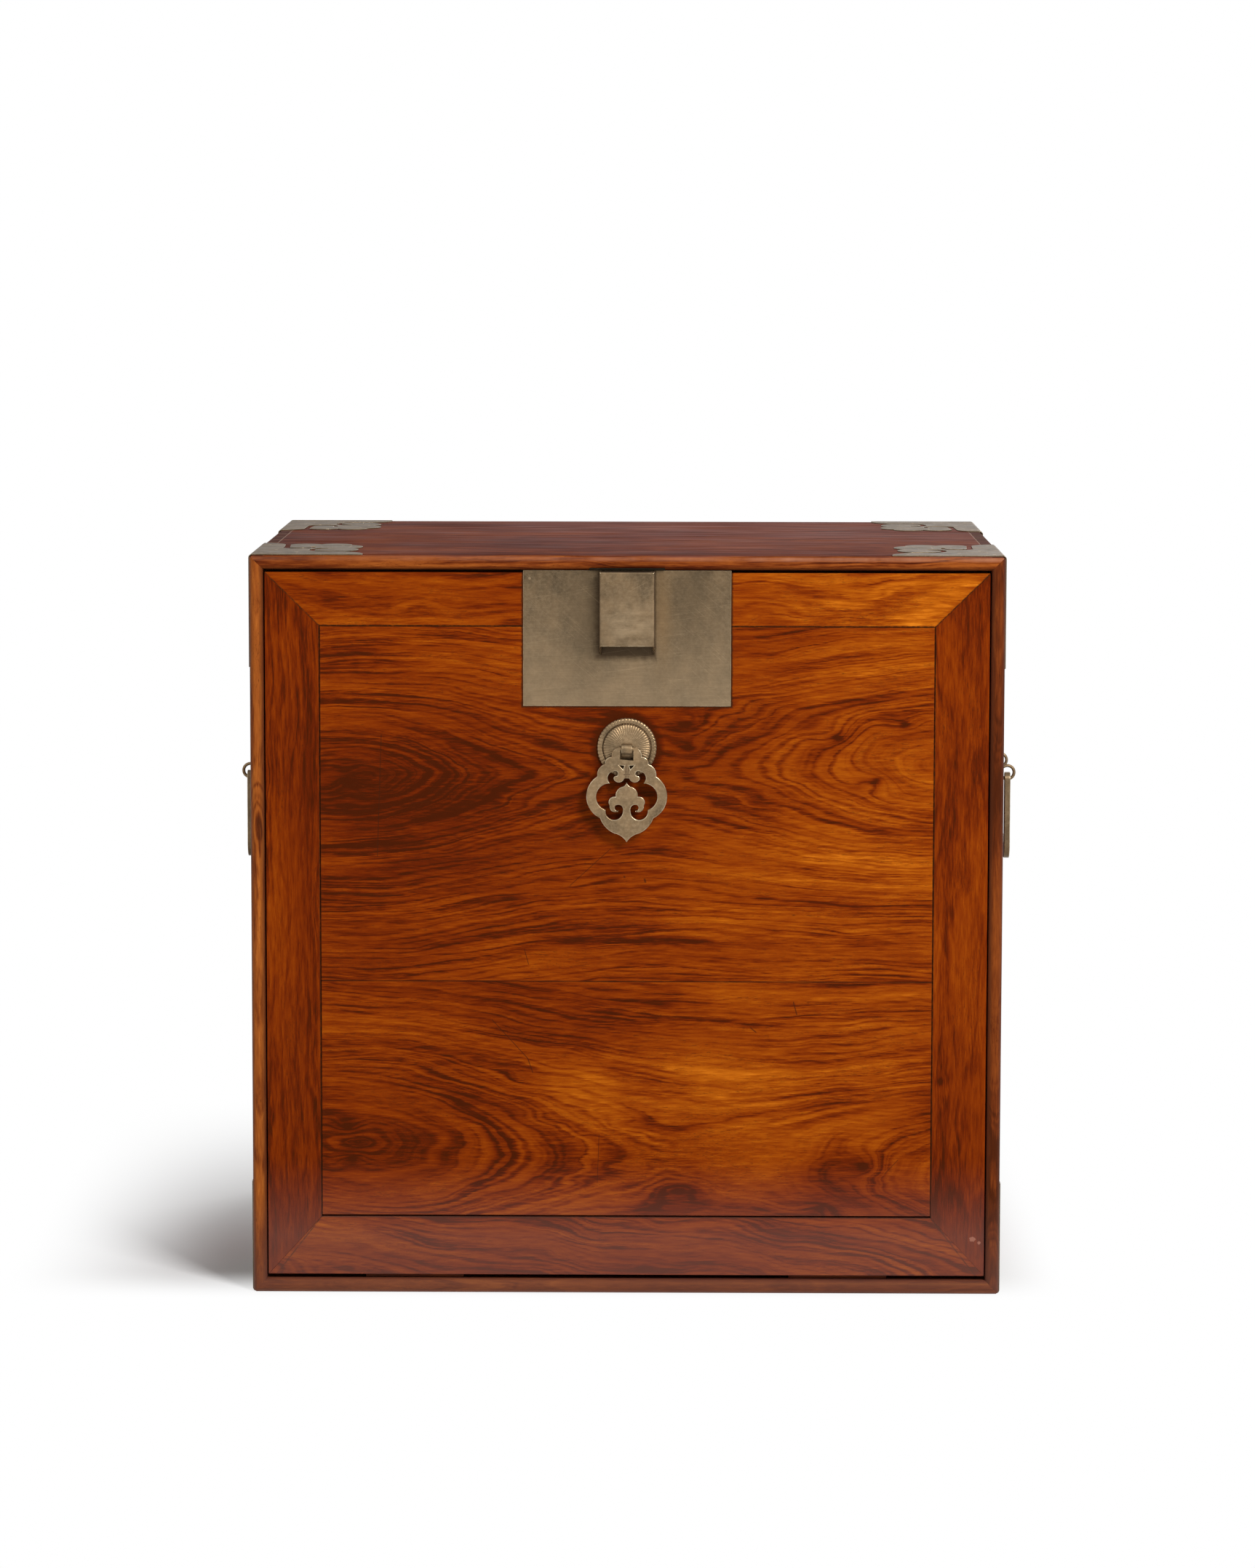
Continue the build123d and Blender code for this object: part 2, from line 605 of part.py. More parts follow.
def lock_bolt():
    """A flat bolt with a stud through the plate's slot and a finger tab inside the housing."""
    bar = block(-BOLT_WIDTH / 2, BOLT_WIDTH / 2, BOLT_FRONT, BOLT_BACK,
                BOLT_TOP - BOLT_LENGTH, BOLT_TOP)
    nose_edges = bar.faces().sort_by(Axis.Z)[-1].edges().filter_by(Axis.X)
    bar = chamfer(nose_edges, BOLT_THICK / 5)
    stud = rod((0, BOLT_FRONT, STUD_Z), (0, TAB_BACK, STUD_Z), STUD_RADIUS)
    return bar + stud


def finger_tab():
    """The plate on the stud's end that a fingertip or key pushes from below."""
    low = STUD_Z - TAB_TALL / 2
    tab = block(-TAB_WIDTH / 2, TAB_WIDTH / 2, TAB_BACK - TAB_THICK, TAB_BACK,
                low, low + TAB_TALL)
    return fillet(tab.edges().filter_by(Axis.Y), TAB_THICK)


def latch_spring():
    """The right-hand leaf spring: riveted to the tab's side, bowed against the housing's wall."""
    inner_wall = HOUSING_WIDTH / 2 - HOUSING_WALL - SPRING_CLEAR
    foot = TAB_WIDTH / 2
    low = STUD_Z - TAB_TALL / 4
    bow = outline(
        (foot, low),
        ((inner_wall - SPRING_THICK, low + SPRING_LENGTH / 2), (foot, low + SPRING_LENGTH)),
        (foot, low + SPRING_LENGTH + SPRING_THICK),
        ((inner_wall, low + SPRING_LENGTH / 2), (foot, low - SPRING_THICK)),
    )
    middle = TAB_BACK - TAB_THICK / 2
    return prism_y(bow, middle - SPRING_WIDTH / 2, middle + SPRING_WIDTH / 2)


# ---- pull ----
def star(outer, inner, count):
    """A closed outline of alternating ridges and valleys."""
    points = []
    for i in range(2 * count):
        radius = inner if i % 2 else outer
        angle = math.pi * i / count
        points.append((radius * math.cos(angle), radius * math.sin(angle)))
    return make_face(Polyline(*points, close=True))


def fluted(levels, count, depth):
    """A stack of fluted frustums from (radius, height) pairs."""
    sections = [
        Pos(0, 0, height) * star(radius, radius - depth * radius / levels[0][0], count)
        for radius, height in levels
    ]
    return loft(sections, ruled=True)


def pull_rosette():
    """A round backplate: a fluted rim, a valley, and a fluted cone up to the strap."""
    rim = fluted(
        [(ROSETTE_RADIUS, 0), (ROSETTE_RADIUS, RIM_HEIGHT / 2), (ROSETTE_VALLEY, RIM_HEIGHT)],
        ROSETTE_FLUTES, FLUTE_DEPTH,
    )
    valley = Pos(0, 0, ROSETTE_BASE) * Cylinder(
        ROSETTE_VALLEY - FLUTE_DEPTH, RIM_HEIGHT, align=(Align.CENTER, Align.CENTER, Align.MIN))
    cone = fluted(
        [(ROSETTE_CONE, 0), (ROSETTE_CONE, CONE_HEIGHT / 2), (ROSETTE_CROWN, CONE_HEIGHT)],
        ROSETTE_FLUTES, FLUTE_DEPTH,
    )
    slot = Box(STRAP_WIDTH, 2 * STRAP_THICK, 3 * CONE_HEIGHT)
    place = Plane(origin=(0, DOOR_FACE, PULL_Z), x_dir=(1, 0, 0), z_dir=(0, -1, 0))
    return place * (rim - valley + cone - slot)


def strap_legs(y0, y1):
    """The strap's two legs, laid together, between two depths. Also the slot that they need."""
    return block(-STRAP_WIDTH / 2, STRAP_WIDTH / 2, y0, y1,
                 PULL_Z - STRAP_THICK, PULL_Z + STRAP_THICK)


def pull_strap():
    """A flat strap looped round the pendant's pin, its two legs clenched inside the door."""
    inner = STRAP_RADIUS - STRAP_THICK
    loop = Circle(STRAP_RADIUS) - Circle(inner)
    ring = prism_x(Pos(PIVOT_Y, PULL_Z) * loop, -STRAP_WIDTH / 2, STRAP_WIDTH / 2)
    inside = PANEL_BACK + WASHER_THICK
    legs = strap_legs(PIVOT_Y + inner + STRAP_THICK / 4, inside)
    clench = block(-STRAP_WIDTH / 2, STRAP_WIDTH / 2, inside, inside + STRAP_THICK,
                   PULL_Z - STRAP_CLENCH, PULL_Z + STRAP_CLENCH)
    return ring + legs + clench


def pull_washer():
    """The square plate inside the door that the strap's legs are clenched over."""
    half = WASHER / 2
    plate = block(-half, half, PANEL_BACK, PANEL_BACK + WASHER_THICK, PULL_Z - half, PULL_Z + half)
    return plate - strap_legs(PANEL_BACK, PANEL_BACK + WASHER_THICK)


def both_halves(start, *steps):
    """A closed face from its left half, which starts and ends on the middle line."""
    half = outline_edges(start, steps)
    return make_face(half + [mirror(edge, Plane.YZ) for edge in half])


def pendant_outline():
    """The rim of the pendant: ears, two small lobes, a big side lobe and a pointed foot.
    Heights are from the pivot."""
    return both_halves(
        (0, 0.9), (-4.6, 0.9),
        ((-7.6, -0.6), (-8.8, -4.5)),        # ear
        ((-11.7, -5.7), (-12.7, -8.8)),      # upper small lobe
        ((-16.2, -11.4), (-17.2, -16.0)),    # lower small lobe
        ((-23.6, -27.0), (-15.6, -40.5)),    # side lobe
        ((-12.6, -45.6), (-7.0, -49.6)),     # shoulder of the foot
        ((-2.6, -51.7), (0, -54.8)),         # sweep to the point
    )


def pendant_opening():
    """The open work round the cloud head, from the gap under the upper curls to the stem."""
    return both_halves(
        (0, -17.2), (-1.4, -17.2),
        ((-4.9, -19.6), (-7.7, -17.6)),      # underside of the upper curl
        ((-7.4, -16.3), (-5.6, -15.6)),      # its tip
        ((-5.4, -13.6), (-7.6, -13.1)),      # inside of the eye
        ((-10.8, -15.6), (-9.4, -20.2)),     # round the eye to the cusp
        ((-17.7, -27.0), (-12.2, -35.6)),    # big bay
        ((-7.4, -41.5), (-2.3, -36.2)),      # lower bay
        ((-3.1, -33.4), (-5.2, -32.7)),      # stem, up to the lower curl's throat
        ((-6.9, -34.4), (-4.8, -36.2)),      # inside of the lower curl
        ((-8.4, -36.6), (-10.0, -33.2)),     # its tip and underside
        ((-9.4, -28.6), (-6.5, -27.9)),      # side of the cloud head
        ((-5.6, -24.2), (-2.4, -22.0)),      # its shoulder
        ((-0.9, -21.0), (0, -19.3)),         # its point
    )


def pendant():
    """A flat pierced drop with a round pin between its ears."""
    shape = pendant_outline() - pendant_opening()
    window = STRAP_WIDTH / 2 + PENDANT_PLAY
    depth = 2 * STRAP_RADIUS
    shape -= outline((-window, -depth), (window, -depth), (window, depth), (-window, depth))
    for side in (-1, 1):
        shape -= outline((side * 1.5, -9.8), (side * 4.2, -9.6), (side * 2.2, -11.8))
    drop = prism_y(Pos(0, PULL_Z) * shape, PIVOT_Y - PENDANT_THICK / 2,
                   PIVOT_Y + PENDANT_THICK / 2)
    reach = window + PIN_RADIUS
    return drop + rod((-reach, PIVOT_Y, PULL_Z), (reach, PIVOT_Y, PULL_Z), PIN_RADIUS)


# ---- side handles ----
def handle_eye(y):
    """A split pin: a ring of wire outside, legs through the board, clenched over a washer.
    The ring's wire is drawn eight-sided."""
    section = Plane.XZ * Pos(EYE_RADIUS, 0) * RegularPolygon(WIRE_RADIUS, 8)
    ring = Plane(origin=(EYE_X, y, HANDLE_Z), z_dir=(0, 1, 0)) * revolve(section, Axis.Z)
    clench = INNER_X - WASHER_THICK - WIRE_RADIUS
    leg_end = clench - WIRE_RADIUS / 2
    legs = rod((leg_end, y, HANDLE_Z), (EYE_X - EYE_RADIUS, y, HANDLE_Z), LEG_RADIUS)
    bent = rod((clench, y - LEG_SPREAD, HANDLE_Z), (clench, y + LEG_SPREAD, HANDLE_Z),
               WIRE_RADIUS)
    return ring + legs + bent


def handle_plate(y):
    """The fluted backplate under one eye."""
    disc = fluted(
        [(BACKPLATE_RADIUS, 0), (BACKPLATE_RADIUS, BACKPLATE_RIM),
         (BACKPLATE_CROWN, BACKPLATE_HEIGHT)],
        BACKPLATE_FLUTES, FLUTE_DEPTH,
    )
    disc -= Cylinder(LEG_HOLE, 3 * BACKPLATE_HEIGHT)
    return Plane(origin=(HALF_WIDTH, y, HANDLE_Z), z_dir=(1, 0, 0)) * disc


def handle_washer(y):
    """The square washer inside the case under the clenched legs."""
    half = WASHER / 2
    plate = block(INNER_X - WASHER_THICK, INNER_X, y - half, y + half,
                  HANDLE_Z - half, HANDLE_Z + half)
    return plate - rod((INNER_X - WASHER_THICK, y, HANDLE_Z), (INNER_X, y, HANDLE_Z), LEG_HOLE)


def bail():
    """A flat swinging handle: a squared loop with two pierced ears that hang in the eyes."""
    hang = HANDLE_Z - EYE_RADIUS
    half = EYE_SPACING / 2
    out = half + BAIL_EAR
    bottom = HANDLE_Z - BAIL_DROP
    bend = BAIL_ROUND * (1 - math.sqrt(0.5))
    shape = outline(
        (-out, hang), ((-half, hang + BAIL_EAR), (-half + BAIL_EAR, hang)),
        (-half + BAIL_EAR, bottom + BAIL_BAR), (half - BAIL_EAR, bottom + BAIL_BAR),
        (half - BAIL_EAR, hang), ((half, hang + BAIL_EAR), (out, hang)),
        (out, bottom + BAIL_ROUND),
        ((out - bend, bottom + bend), (out - BAIL_ROUND, bottom)),
        (-out + BAIL_ROUND, bottom),
        ((-out + bend, bottom + bend), (-out, bottom + BAIL_ROUND)),
    )
    for y in EYE_YS:
        shape -= Pos(y, hang) * Circle(BAIL_HOLE)
    return prism_x(shape, EYE_X - BAIL_THICK / 2, EYE_X + BAIL_THICK / 2)


def handles():
    """Nodes of both side handles: the right-hand ones, and their mirror images."""
    right = {
        "bail": bail(),
        "handle_eyes": [handle_eye(y) for y in EYE_YS],
        "handle_plates": [handle_plate(y) for y in EYE_YS],
        "handle_washers": [handle_washer(y) for y in EYE_YS],
    }
    made = {}
    for side, word in ((-1, "left"), (1, "right")):
        for name, shape in right.items():
            group = shape if isinstance(shape, list) else [shape]
            made[f"{word}_{name}"] = [flipped(part, side) for part in group]
    return made


def strike_plate():
    """A thin plate under the top board round the bolt's mortise."""
    return strike_blank() - bolt_mortise()


def build():
    """Every node of the chest, by name."""
    nodes = {}
    mounts = corner_mounts()
    nodes.update(case_boards(mounts))
    nodes.update(back_boards())
    nodes["shelf"] = shelf()
    nodes.update(door_stops())
    nodes.update(mounts)
    batten_pair = battens()
    nodes.update(door_frame(batten_pair))
    nodes.update(door_panel(batten_pair))
    nodes.update(batten_pair)
    nodes["lock_plate"] = lock_plate()
    nodes["lock_housing"] = lock_housing()
    nodes["strike_plate"] = strike_plate()
    nodes["lock_bolt"] = lock_bolt()
    nodes["finger_tab"] = finger_tab()
    spring = latch_spring()
    nodes["right_latch_spring"] = spring
    nodes["left_latch_spring"] = mirror(spring, Plane.YZ)
    nodes["pull_rosette"] = pull_rosette()
    nodes["pull_strap"] = pull_strap()
    nodes["pull_washer"] = pull_washer()
    nodes["pendant"] = pendant()
    nodes.update(handles())
    return nodes


os.makedirs("parts", exist_ok=True)
for name, shape in build().items():
    group = shape if isinstance(shape, list) else [shape]
    solids = [solid for part in group for solid in solids_of(part)]
    whole = solids[0] if len(solids) == 1 else Compound(children=solids)
    export_step(whole, f"parts/{name}.step")
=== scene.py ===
import json
import math

import bmesh
import bpy
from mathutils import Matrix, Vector

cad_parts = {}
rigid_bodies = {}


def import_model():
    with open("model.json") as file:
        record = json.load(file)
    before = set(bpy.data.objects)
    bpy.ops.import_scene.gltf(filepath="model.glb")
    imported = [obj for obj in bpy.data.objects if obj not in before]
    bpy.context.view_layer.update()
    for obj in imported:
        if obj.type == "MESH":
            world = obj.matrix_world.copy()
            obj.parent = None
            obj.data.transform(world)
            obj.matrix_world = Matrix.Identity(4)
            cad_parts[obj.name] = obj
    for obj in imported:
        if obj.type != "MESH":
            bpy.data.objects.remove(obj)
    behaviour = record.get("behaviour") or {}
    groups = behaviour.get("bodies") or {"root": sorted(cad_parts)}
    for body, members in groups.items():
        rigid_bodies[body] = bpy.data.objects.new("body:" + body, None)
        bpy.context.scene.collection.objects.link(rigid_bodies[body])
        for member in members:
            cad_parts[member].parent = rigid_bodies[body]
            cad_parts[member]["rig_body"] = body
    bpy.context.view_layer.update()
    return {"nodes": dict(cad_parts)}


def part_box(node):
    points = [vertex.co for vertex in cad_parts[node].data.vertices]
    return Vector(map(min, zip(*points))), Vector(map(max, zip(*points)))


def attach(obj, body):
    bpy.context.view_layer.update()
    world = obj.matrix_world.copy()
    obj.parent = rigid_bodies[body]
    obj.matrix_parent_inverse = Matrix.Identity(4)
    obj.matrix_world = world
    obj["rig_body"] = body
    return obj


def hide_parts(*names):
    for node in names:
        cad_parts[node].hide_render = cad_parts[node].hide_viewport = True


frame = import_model()


# The case is four rosewood boards, dovetailed through at the corners, with a mitre in front.
# Their front edges are planed round and stand a little forward of the door, and the wood is
# waxed. Dust has settled on the top, and the foot is greyed, partly scuffed and partly as a
# painted reflection of the pale floor.

# Shapes are in metres, and what the materials draw is in millimetres.
MILLIMETRES = 1000.0
CASE_EASE = 0.0004
CASE_PALETTE = [
    (0.00, (0.050, 0.0085, 0.0035)),
    (0.30, (0.115, 0.0210, 0.0055)),
    (0.55, (0.215, 0.0480, 0.0090)),
    (0.80, (0.340, 0.0900, 0.0150)),
    (1.00, (0.480, 0.1450, 0.0230)),
]


def add_node(kind, feeds, tree=None, **settings):
    """A shader node. feeds maps its sockets to plain values or to other nodes' sockets. It goes
    into the tree of the sockets that feed it, so only a node without them names its tree."""
    links = {name: value for name, value in feeds.items() if isinstance(value, bpy.types.NodeSocket)}
    tree = tree or next(iter(links.values())).id_data
    node = tree.nodes.new("ShaderNode" + kind)
    for name, value in settings.items():
        setattr(node, name, value)
    for socket, value in feeds.items():
        if socket in links:
            tree.links.new(value, node.inputs[socket])
        else:
            node.inputs[socket].default_value = value
    return node


def calc(operation, *terms):
    return add_node("Math", dict(enumerate(terms)), operation=operation).outputs[0]


def chained(operation, first, *others):
    """One operation taken through a row of values from left to right."""
    for other in others:
        first = calc(operation, first, other)
    return first


def times(*values):
    return chained("MULTIPLY", *values)


def plus(*values):
    return chained("ADD", *values)


def less(*values):
    return chained("SUBTRACT", *values)


def largest(*values):
    return chained("MAXIMUM", *values)


def unsigned(value):
    return calc("ABSOLUTE", value)


def raised(value, share, amount):
    """value with a share of an amount added."""
    return calc("MULTIPLY_ADD", share, amount, value)


def swayed(value, noise, amount):
    """value moved up and down by a noise, which has its middle at 0.5."""
    return raised(value, less(noise, 0.5), amount)


def distance(aside, above):
    return calc("SQRT", plus(times(aside, aside), times(above, above)))


def rescale(value, low, high, new_low=0.0, new_high=1.0):
    """value from low..high taken to new_low..new_high, and held there beyond."""
    feeds = {0: value, 1: low, 2: high, 3: new_low, 4: new_high}
    return add_node("MapRange", feeds).outputs[0]


def opaque(colour):
    return (*colour, 1.0)


def mixed(colour, share, over):
    """A colour with a share of another over it."""
    feeds = {0: share, 6: colour, 7: over}
    return add_node("Mix", feeds, data_type="RGBA").outputs[2]


def coated(colour, share, coat):
    """A colour with a share of a plain coat over it."""
    return mixed(colour, share, opaque(coat))


def object_place(tree):
    """The point's place in the chest's frame, in millimetres."""
    place = add_node("TexCoord", {}, tree).outputs["Object"]
    feeds = {0: place, "Scale": MILLIMETRES}
    return add_node("VectorMath", feeds, operation="SCALE").outputs[0]


def apart(vector):
    """A place's three measures by the names of their axes."""
    return dict(zip("xyz", add_node("SeparateXYZ", {0: vector}).outputs))


def joined(first, second, third):
    return add_node("CombineXYZ", {0: first, 1: second, 2: third}).outputs[0]


def cloud(space, sizes, seed, detail=2.0, rough=0.5):
    """Noise whose clouds have the given size, in millimetres, along each direction of space."""
    shares = tuple(1.0 / size for size in sizes)
    feeds = {0: space, 1: shares, 2: (seed, 2 * seed, 3 * seed)}
    spot = add_node("VectorMath", feeds, operation="MULTIPLY_ADD").outputs[0]
    feeds = {"Vector": spot, "Scale": 1.0, "Detail": detail, "Roughness": rough}
    return add_node("TexNoise", feeds).outputs[0]


def face_cloud(place, axes, sizes, seed, detail=2.0, rough=0.5):
    """Noise over a face, or along an edge, that changes only along the named axes."""
    spare = 3 - len(axes)
    spot = joined(*(place[axis] for axis in axes), *[0.0] * spare)
    return cloud(spot, (*sizes, *[1.0] * spare), seed, detail, rough)


def spot_mask(place, middle, reach, plane="xz"):
    """1 at a middle point of a board's face, falling off smoothly over a reach each way."""
    squares = []
    for axis, centre, size in zip(plane, middle, reach):
        offset = calc("DIVIDE", less(place[axis], centre), size)
        squares.append(times(offset, offset))
    return calc("EXPONENT", times(plus(*squares), -1.0))


def ramp(value, palette):
    """A run of colours over 0..1, from (place, colour) pairs."""
    node = add_node("ValToRGB", {0: value})
    stops = node.color_ramp.elements
    while len(stops) < len(palette):
        stops.new(0.5)
    for stop, (place, colour) in zip(stops, palette):
        stop.position = place
        stop.color = opaque(colour)
    return node.outputs[0]


def wandering_rings(pith_across, pith_depth, wander=14.0, slant=0.0):
    """Growth rings of a board sawn to one side of the tree's middle, which wanders along it.
    A board sawn off the line of the tree has slanting rings."""
    def rings(grain, place, seed):
        line = joined(grain["along"], seed * 50.0, 0.0)
        drift = cloud(line, (150.0, 1.0, 1.0), seed)
        drift = rescale(drift, 0.25, 0.75, -wander, wander)
        drift = raised(drift, grain["along"], slant)
        aside = less(plus(grain["across"], drift), pith_across)
        return distance(aside, plus(grain["through"], pith_depth))
    return rings


# Each streak's width and length in millimetres, how thin its line is drawn and how dark.
STREAKS = ((8.0, 330.0, 0.036, 0.32), (4.2, 240.0, 0.050, 0.32), (2.0, 140.0, 0.080, 0.22))
RIBBON_GAP = 3.4


def streaked(value, ring, figure, fine, seed, contrast):
    """Dark lines drawn out along the grain, and in places a ribbon stripe between them. The
    fine grain breaks both up."""
    broken = rescale(fine, 0.85, 1.25, 1.0, 0.50)
    where = rescale(cloud(figure, (13.0, 90.0, 1.0), seed + 19.0), 0.36, 0.60)
    for width, length, thin, depth in STREAKS:
        drawn = cloud(figure, (width, length, 1.0), seed + width, 1.0, 0.4)
        line = rescale(unsigned(less(drawn, 0.5)), thin, 0.0)
        value = raised(value, times(line, broken, where), -depth * contrast)
    jitter = cloud(figure, (10.0, 190.0, 1.0), seed + 23.0, 2.0, 0.55)
    phase = raised(times(jitter, 17.0), ring, math.tau / RIBBON_GAP)
    ribbon = rescale(calc("SINE", phase), 0.20, 1.0)
    where = rescale(cloud(figure, (26.0, 160.0, 1.0), seed + 25.0), 0.40, 0.58)
    return raised(value, times(ribbon, broken, where), -0.25 * contrast)


PORE_SIZES = ((1.7, 0.24), (3.6, 0.36))
PORE_DARK = (0.045, 0.0055, 0.002)


def open_pores(space, figure, seed):
    """1 in the pores, short dashes along the grain that crowd together in places."""
    crowd = cloud(figure, (4.0, 90.0, 1.0), seed + 15.0, 2.0, 0.6)
    level = rescale(crowd, 0.35, 0.65, 0.77, 0.63)
    dashes = []
    for length, width in PORE_SIZES:
        dash = cloud(space, (length, width, width), seed + length, 1.0, 0.35)
        dashes.append(rescale(less(dash, level), -0.02, 0.07))
    return largest(*dashes)


def empty_material(name):
    material = bpy.data.materials.new(name)
    material.use_nodes = True
    material.node_tree.nodes.clear()
    return material


def finished(material, feeds):
    """The material with a Principled shader, whose sockets feeds names."""
    shader = add_node("BsdfPrincipled", feeds)
    add_node("OutputMaterial", {0: shader.outputs[0]})
    return material


def bumped(height, strength, depth):
    feeds = {"Strength": strength, "Distance": depth, "Height": height}
    return add_node("Bump", feeds).outputs[0]


WAX_GLOW = (1.0, 0.42, 0.08)


def rosewood(name, axes, rings, palette, seed, tone, contrast, toning=None, dirt_and_light=None,
             dull=None, rough=(0.30, 0.42), shine=0.25):
    """Rosewood. axes names the directions along, across and through the board's grain. toning
    changes how pale the wood is, the next lays dirt, wear and in places painted light and shade
    over its colour, and dull tells where it has no wax."""
    material = empty_material(name)
    place = apart(object_place(material.node_tree))
    grain = {way: place[axis] for way, axis in zip(("along", "across", "through"), axes)}
    space = joined(*grain.values())

    # The growth rings sway and ripple along the board, and are frayed into hairs.
    sway = cloud(space, (110.0, 30.0, 30.0), seed)
    ripple = cloud(space, (30.0, 8.0, 8.0), seed + 3.0)
    hair = cloud(space, (10.0, 0.34, 0.34), seed + 9.0, 2.0, 0.6)
    ring = rings(grain, place, seed)
    for noise, amount in ((sway, 14.0), (ripple, 3.0), (hair, 1.3)):
        ring = swayed(ring, noise, amount)
    figure = joined(ring, grain["along"], 0.0)

    # Bands of rings are paler or darker, with soft patches and a fine mottle across them.
    band = cloud(figure, (5.0, 260.0, 1.0), seed + 5.0, 2.0, 0.6)
    zone = cloud(figure, (22.0, 320.0, 1.0), seed + 2.0, 1.0, 0.5)
    patch = cloud(space, (110.0, 48.0, 48.0), seed + 11.0, 2.0)
    mottle = cloud(space, (13.0, 1.5, 1.5), seed + 12.0, 3.0, 0.6)
    value = swayed(tone, band, 0.46 * contrast)
    for noise, amount in ((zone, 0.34), (patch, 0.62), (mottle, 0.58), (hair, 0.40)):
        value = swayed(value, noise, amount)
    value = streaked(value, ring, figure, plus(hair, mottle), seed, contrast)
    if toning:
        value = toning(place, value)

    # Dark pores lie over the colour, and are open in the wax, which is worn unevenly.
    pore = open_pores(space, figure, seed)
    colour = coated(ramp(value, palette), times(pore, 0.60), PORE_DARK)
    if dirt_and_light:
        colour = dirt_and_light(place, colour)
    smear = cloud(space, (60.0, 30.0, 30.0), seed + 17.0, 3.0)
    roughness = rescale(smear, 0.3, 0.7, *rough)
    if dull:
        roughness = largest(roughness, times(dull(place), 0.90))
    normal = bumped(raised(mottle, pore, -1.0), 0.30, 0.00012)
    return finished(material, {
        "Base Color": colour, "Roughness": roughness, "Normal": normal,
        "Specular IOR Level": shine, "Specular Tint": opaque(WAX_GLOW),
    })


def put_in_scene(name, data):
    """A new object of a mesh, curve, lamp or camera."""
    piece = bpy.data.objects.new(name, data)
    bpy.context.scene.collection.objects.link(piece)
    return piece


SHARP = math.radians(32)
FLAT = math.radians(0.5)
SAME_POINT = 0.000002


def eased_copy(node, ease, finish, edge_finish=None, steps=2, kept_sharp=None):
    """A copy of a CAD piece with its sharp edges eased, in its finish, which stands for it.
    kept_sharp tells from a point whether an edge there stays sharp, and then the short edges of
    a crowded outline don't hold the easing of the others back."""
    source = frame["nodes"][node]
    mesh = source.data.copy()
    for name in ("custom_normal", "sharp_face"):
        if name in mesh.attributes:
            mesh.attributes.remove(mesh.attributes[name])
    form = bmesh.new()
    form.from_mesh(mesh)
    bmesh.ops.remove_doubles(form, verts=form.verts, dist=SAME_POINT)
    bmesh.ops.dissolve_limit(form, angle_limit=FLAT, verts=form.verts, edges=form.edges)
    for face in form.faces:
        face.smooth = True
    if kept_sharp:
        weight = form.edges.layers.float.new("bevel_weight_edge")
        for edge in form.edges:
            middle = (edge.verts[0].co + edge.verts[1].co) / 2
            eased = edge.calc_face_angle(0.0) > SHARP and not kept_sharp(middle)
            edge[weight] = 1.0 if eased else 0.0
    form.to_mesh(mesh)
    form.free()
    mesh.set_sharp_from_angle(angle=SHARP)
    mesh.materials.clear()
    mesh.materials.append(finish)
    piece = put_in_scene(node + "_eased", mesh)
    bevel = piece.modifiers.new("eased edges", "BEVEL")
    bevel.width = ease
    bevel.segments = steps
    bevel.limit_method = "WEIGHT" if kept_sharp else "ANGLE"
    bevel.angle_limit = SHARP
    bevel.harden_normals = True
    bevel.use_clamp_overlap = not kept_sharp
    if edge_finish:
        mesh.materials.append(edge_finish)
        bevel.material = 1
    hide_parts(node)
    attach(piece, source["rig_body"])


def box_in_millimetres(node):
    """A CAD piece's lowest and highest corners."""
    return [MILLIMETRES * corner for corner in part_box(node)]


CASE_LOW, CASE_HIGH = box_in_millimetres("top_board")
TAIL_LINE = CASE_HIGH.x - 8.3
DUST = (0.300, 0.135, 0.115)
JOINT_DUST = (0.420, 0.300, 0.230)
END_GRAIN = (0.045, 0.015, 0.010)
PAINTED_EDGE_HIGHLIGHT = (0.420, 0.170, 0.090)
SHADED_WOOD = (0.045, 0.010, 0.004)
OLD_WAX_AND_RIM_SHADE = (0.060, 0.014, 0.006)
GREY_SCUFF_AND_FLOOR_REFLECTION = (0.118, 0.052, 0.042)


def dusty_top(place, colour):
    """Pale dust on the case's top, wiped into streaks, and thinner to the front and left."""
    up = rescale(place["z"], CASE_HIGH.z - 1.4, CASE_HIGH.z - 0.4)
    back = rescale(place["y"], -160.0, 120.0, 0.34, 0.80)
    back = times(back, rescale(place["x"], -220.0, 40.0, 0.35, 1.0))
    wipe = rescale(face_cloud(place, "xy", (80.0, 4.5), 2.0, 4.0, 0.6), 0.40, 0.60, 0.05, 1.0)
    return coated(colour, times(up, back, wipe), DUST)


def dusty_joint(place, colour):
    """Pale dust lies in the scribed line that the dovetails are cut to, on top of the case, and
    the strip outside it is dark."""
    beyond = less(unsigned(place["x"]), TAIL_LINE)
    up = rescale(place["z"], CASE_HIGH.z - 0.6, CASE_HIGH.z - 0.2)
    strip = times(rescale(beyond, 0.1, 0.5, 0.0, 0.70), up)
    colour = coated(colour, strip, END_GRAIN)
    broken = rescale(face_cloud(place, "y", (4.0,), 3.0), 0.42, 0.56, 0.05, 0.85)
    line = rescale(unsigned(beyond), 0.55, 0.20)
    return coated(colour, times(line, broken, up), JOINT_DUST)


def waxed_and_lit_front(place, value):
    """A board's rounded front is brighter than the rest, partly waxed like the door and partly a
    painted highlight where the round catches the light.
    """
    front = rescale(place["y"], CASE_LOW.y + 5.0, CASE_LOW.y + 2.0, 0.0, 0.30)
    return plus(value, front)


